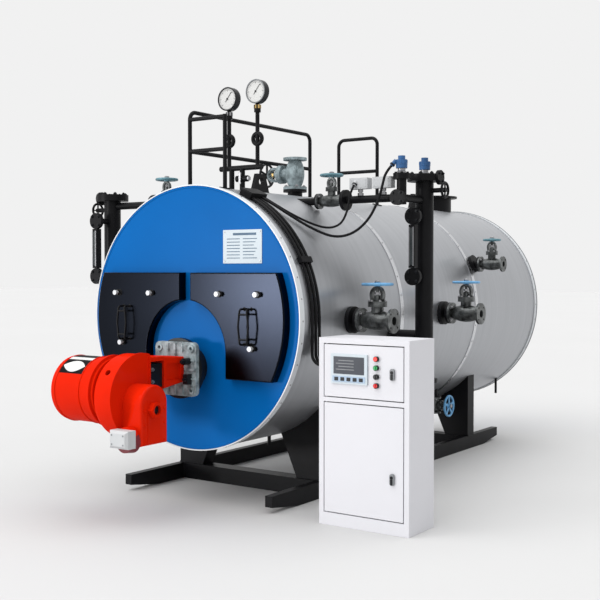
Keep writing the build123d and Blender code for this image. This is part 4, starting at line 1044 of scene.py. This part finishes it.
class BOILER_OT_cables(Operator):
    """Hanging cables with their gland nuts, and the conduits on the barrel"""

    bl_idname = "boiler.cables"
    bl_label = "Cables"

    def execute(self, context):
        dress(sheath(), "conduits")
        cable("level_lead", "level_cable", LEVEL_CABLE, 0.016)
        cable("switch_lead", "switch_cable", SWITCH_CABLE, 0.014)
        gap = 0.003
        nuts = bmesh.new()
        for points in (LEVEL_CABLE, SWITCH_CABLE):
            end = Vector(points[-1])
            ahead = end - Vector(points[-2])
            add_rod(nuts, end + ahead.normalized() * gap, ahead, radius=0.0165, tall=0.011, sides=6)
        add_piece("cable_gland_nuts", nuts, case_black())
        return {"FINISHED"}


class BOILER_OT_rear_end(Operator):
    """Rear plate with its bolted cover and edge seal"""

    bl_idname = "boiler.rear_end"
    bl_label = "Rear end"

    def execute(self, context):
        dress(blue_gloss(), "rear_plate")
        dress(graphite(), "rear_cover")
        low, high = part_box("rear_cover")
        bolt_circle = (high[0] - low[0]) / 2 - 0.04
        nuts = bmesh.new()
        add_nut_circle(nuts, (0, high[1], AXIS_HEIGHT), -FORWARD, -FORWARD, bolt_circle, 20, 0.014, 0.009,
                       start=0.0, stud=False)
        add_piece("rear_cover_nuts", nuts, zinc())
        rim_low, rim_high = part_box("end_rims")
        seal_reach = (rim_high[0] - rim_low[0]) / 2 - 0.001
        seal_section = 0.006
        seal = bmesh.new()
        add_ring(seal, (0, rim_high[1] - seal_section, AXIS_HEIGHT), FORWARD, seal_reach, seal_section,
                 steps=192, sides=10)
        add_piece("rear_edge_seal", seal, panel_grey())
        return {"FINISHED"}


class BOILER_OT_stage(Operator):
    """Pale floor, soft studio light and the camera"""

    bl_idname = "boiler.stage"
    bl_label = "Stage"

    def execute(self, context):
        scene = context.scene
        scene.view_settings.view_transform = "Standard"
        self.floor(scene)
        self.sky(scene)
        self.lights(scene)
        self.camera(scene)
        return {"FINISHED"}

    def floor(self, scene):
        mesh = bmesh.new()
        bmesh.ops.create_grid(mesh, x_segments=1, y_segments=1, size=60)
        data = bpy.data.meshes.new("floor")
        mesh.to_mesh(data)
        mesh.free()
        data.materials.append(floor_pale())
        floor = bpy.data.objects.new("floor", data)
        floor.location.z = -0.0005
        scene.collection.objects.link(floor)

    def sky(self, scene):
        world = bpy.data.worlds.new("studio")
        world.use_nodes = True
        sky = world.node_tree.nodes["Background"]
        sky.inputs["Color"].default_value = (1, 1, 1, 1)
        sky.inputs["Strength"].default_value = 0.88
        scene.world = world

    def lights(self, scene):
        for name, kind, spot, target, power in LIGHTS:
            data = bpy.data.lights.new(name, kind)
            data.energy = power
            if kind == "AREA":
                data.size = 1.6
                data.spread = math.radians(40)
            else:
                data.angle = math.radians(60)
            lamp = bpy.data.objects.new(name, data)
            lamp.location = spot
            lamp.rotation_euler = (Vector(target) - Vector(spot)).to_track_quat("-Z", "Y").to_euler()
            lamp.visible_camera = False
            scene.collection.objects.link(lamp)

    def camera(self, scene):
        data = bpy.data.cameras.new("photo_view")
        data.sensor_width = 36.0
        data.lens = 60.94
        data.clip_end = 200.0
        camera = bpy.data.objects.new("photo_view", data)
        camera.location = (4.045, -5.302, 1.419)
        camera.rotation_euler = (math.radians(90 - 1.68), 0, math.radians(34.58))
        scene.collection.objects.link(camera)
        scene.camera = camera


OPERATORS = (
    BOILER_OT_jacket,
    BOILER_OT_front_end,
    BOILER_OT_burner,
    BOILER_OT_base,
    BOILER_OT_valves,
    BOILER_OT_columns,
    BOILER_OT_topside,
    BOILER_OT_cabinet,
    BOILER_OT_cables,
    BOILER_OT_rear_end,
    BOILER_OT_stage,
)


class BOILER_PT_panel(Panel):
    """Lists the boiler's pieces, finishes and fasteners"""

    bl_idname = "BOILER_PT_panel"
    bl_label = "Boiler"
    bl_space_type = "VIEW_3D"
    bl_region_type = "UI"
    bl_category = "Boiler"

    def draw(self, context):
        for settings in (finishes(), fasteners()):
            for name in settings.__annotations__:
                self.layout.prop(settings, name)
        for operator in OPERATORS:
            self.layout.operator(operator.bl_idname)


CLASSES = (BoilerFinishes, BoilerFasteners, *OPERATORS, BOILER_PT_panel)


def register():
    for one in CLASSES:
        bpy.utils.register_class(one)
    bpy.types.Scene.boiler_finishes = PointerProperty(type=BoilerFinishes)
    bpy.types.Scene.boiler_fasteners = PointerProperty(type=BoilerFasteners)


def unregister():
    del bpy.types.Scene.boiler_fasteners
    del bpy.types.Scene.boiler_finishes
    for one in reversed(CLASSES):
        bpy.utils.unregister_class(one)


def main():
    register()
    for operator in OPERATORS:
        group, name = operator.bl_idname.split(".")
        getattr(getattr(bpy.ops, group), name)()
    bpy.context.view_layer.update()


if __name__ == "__main__":
    main()
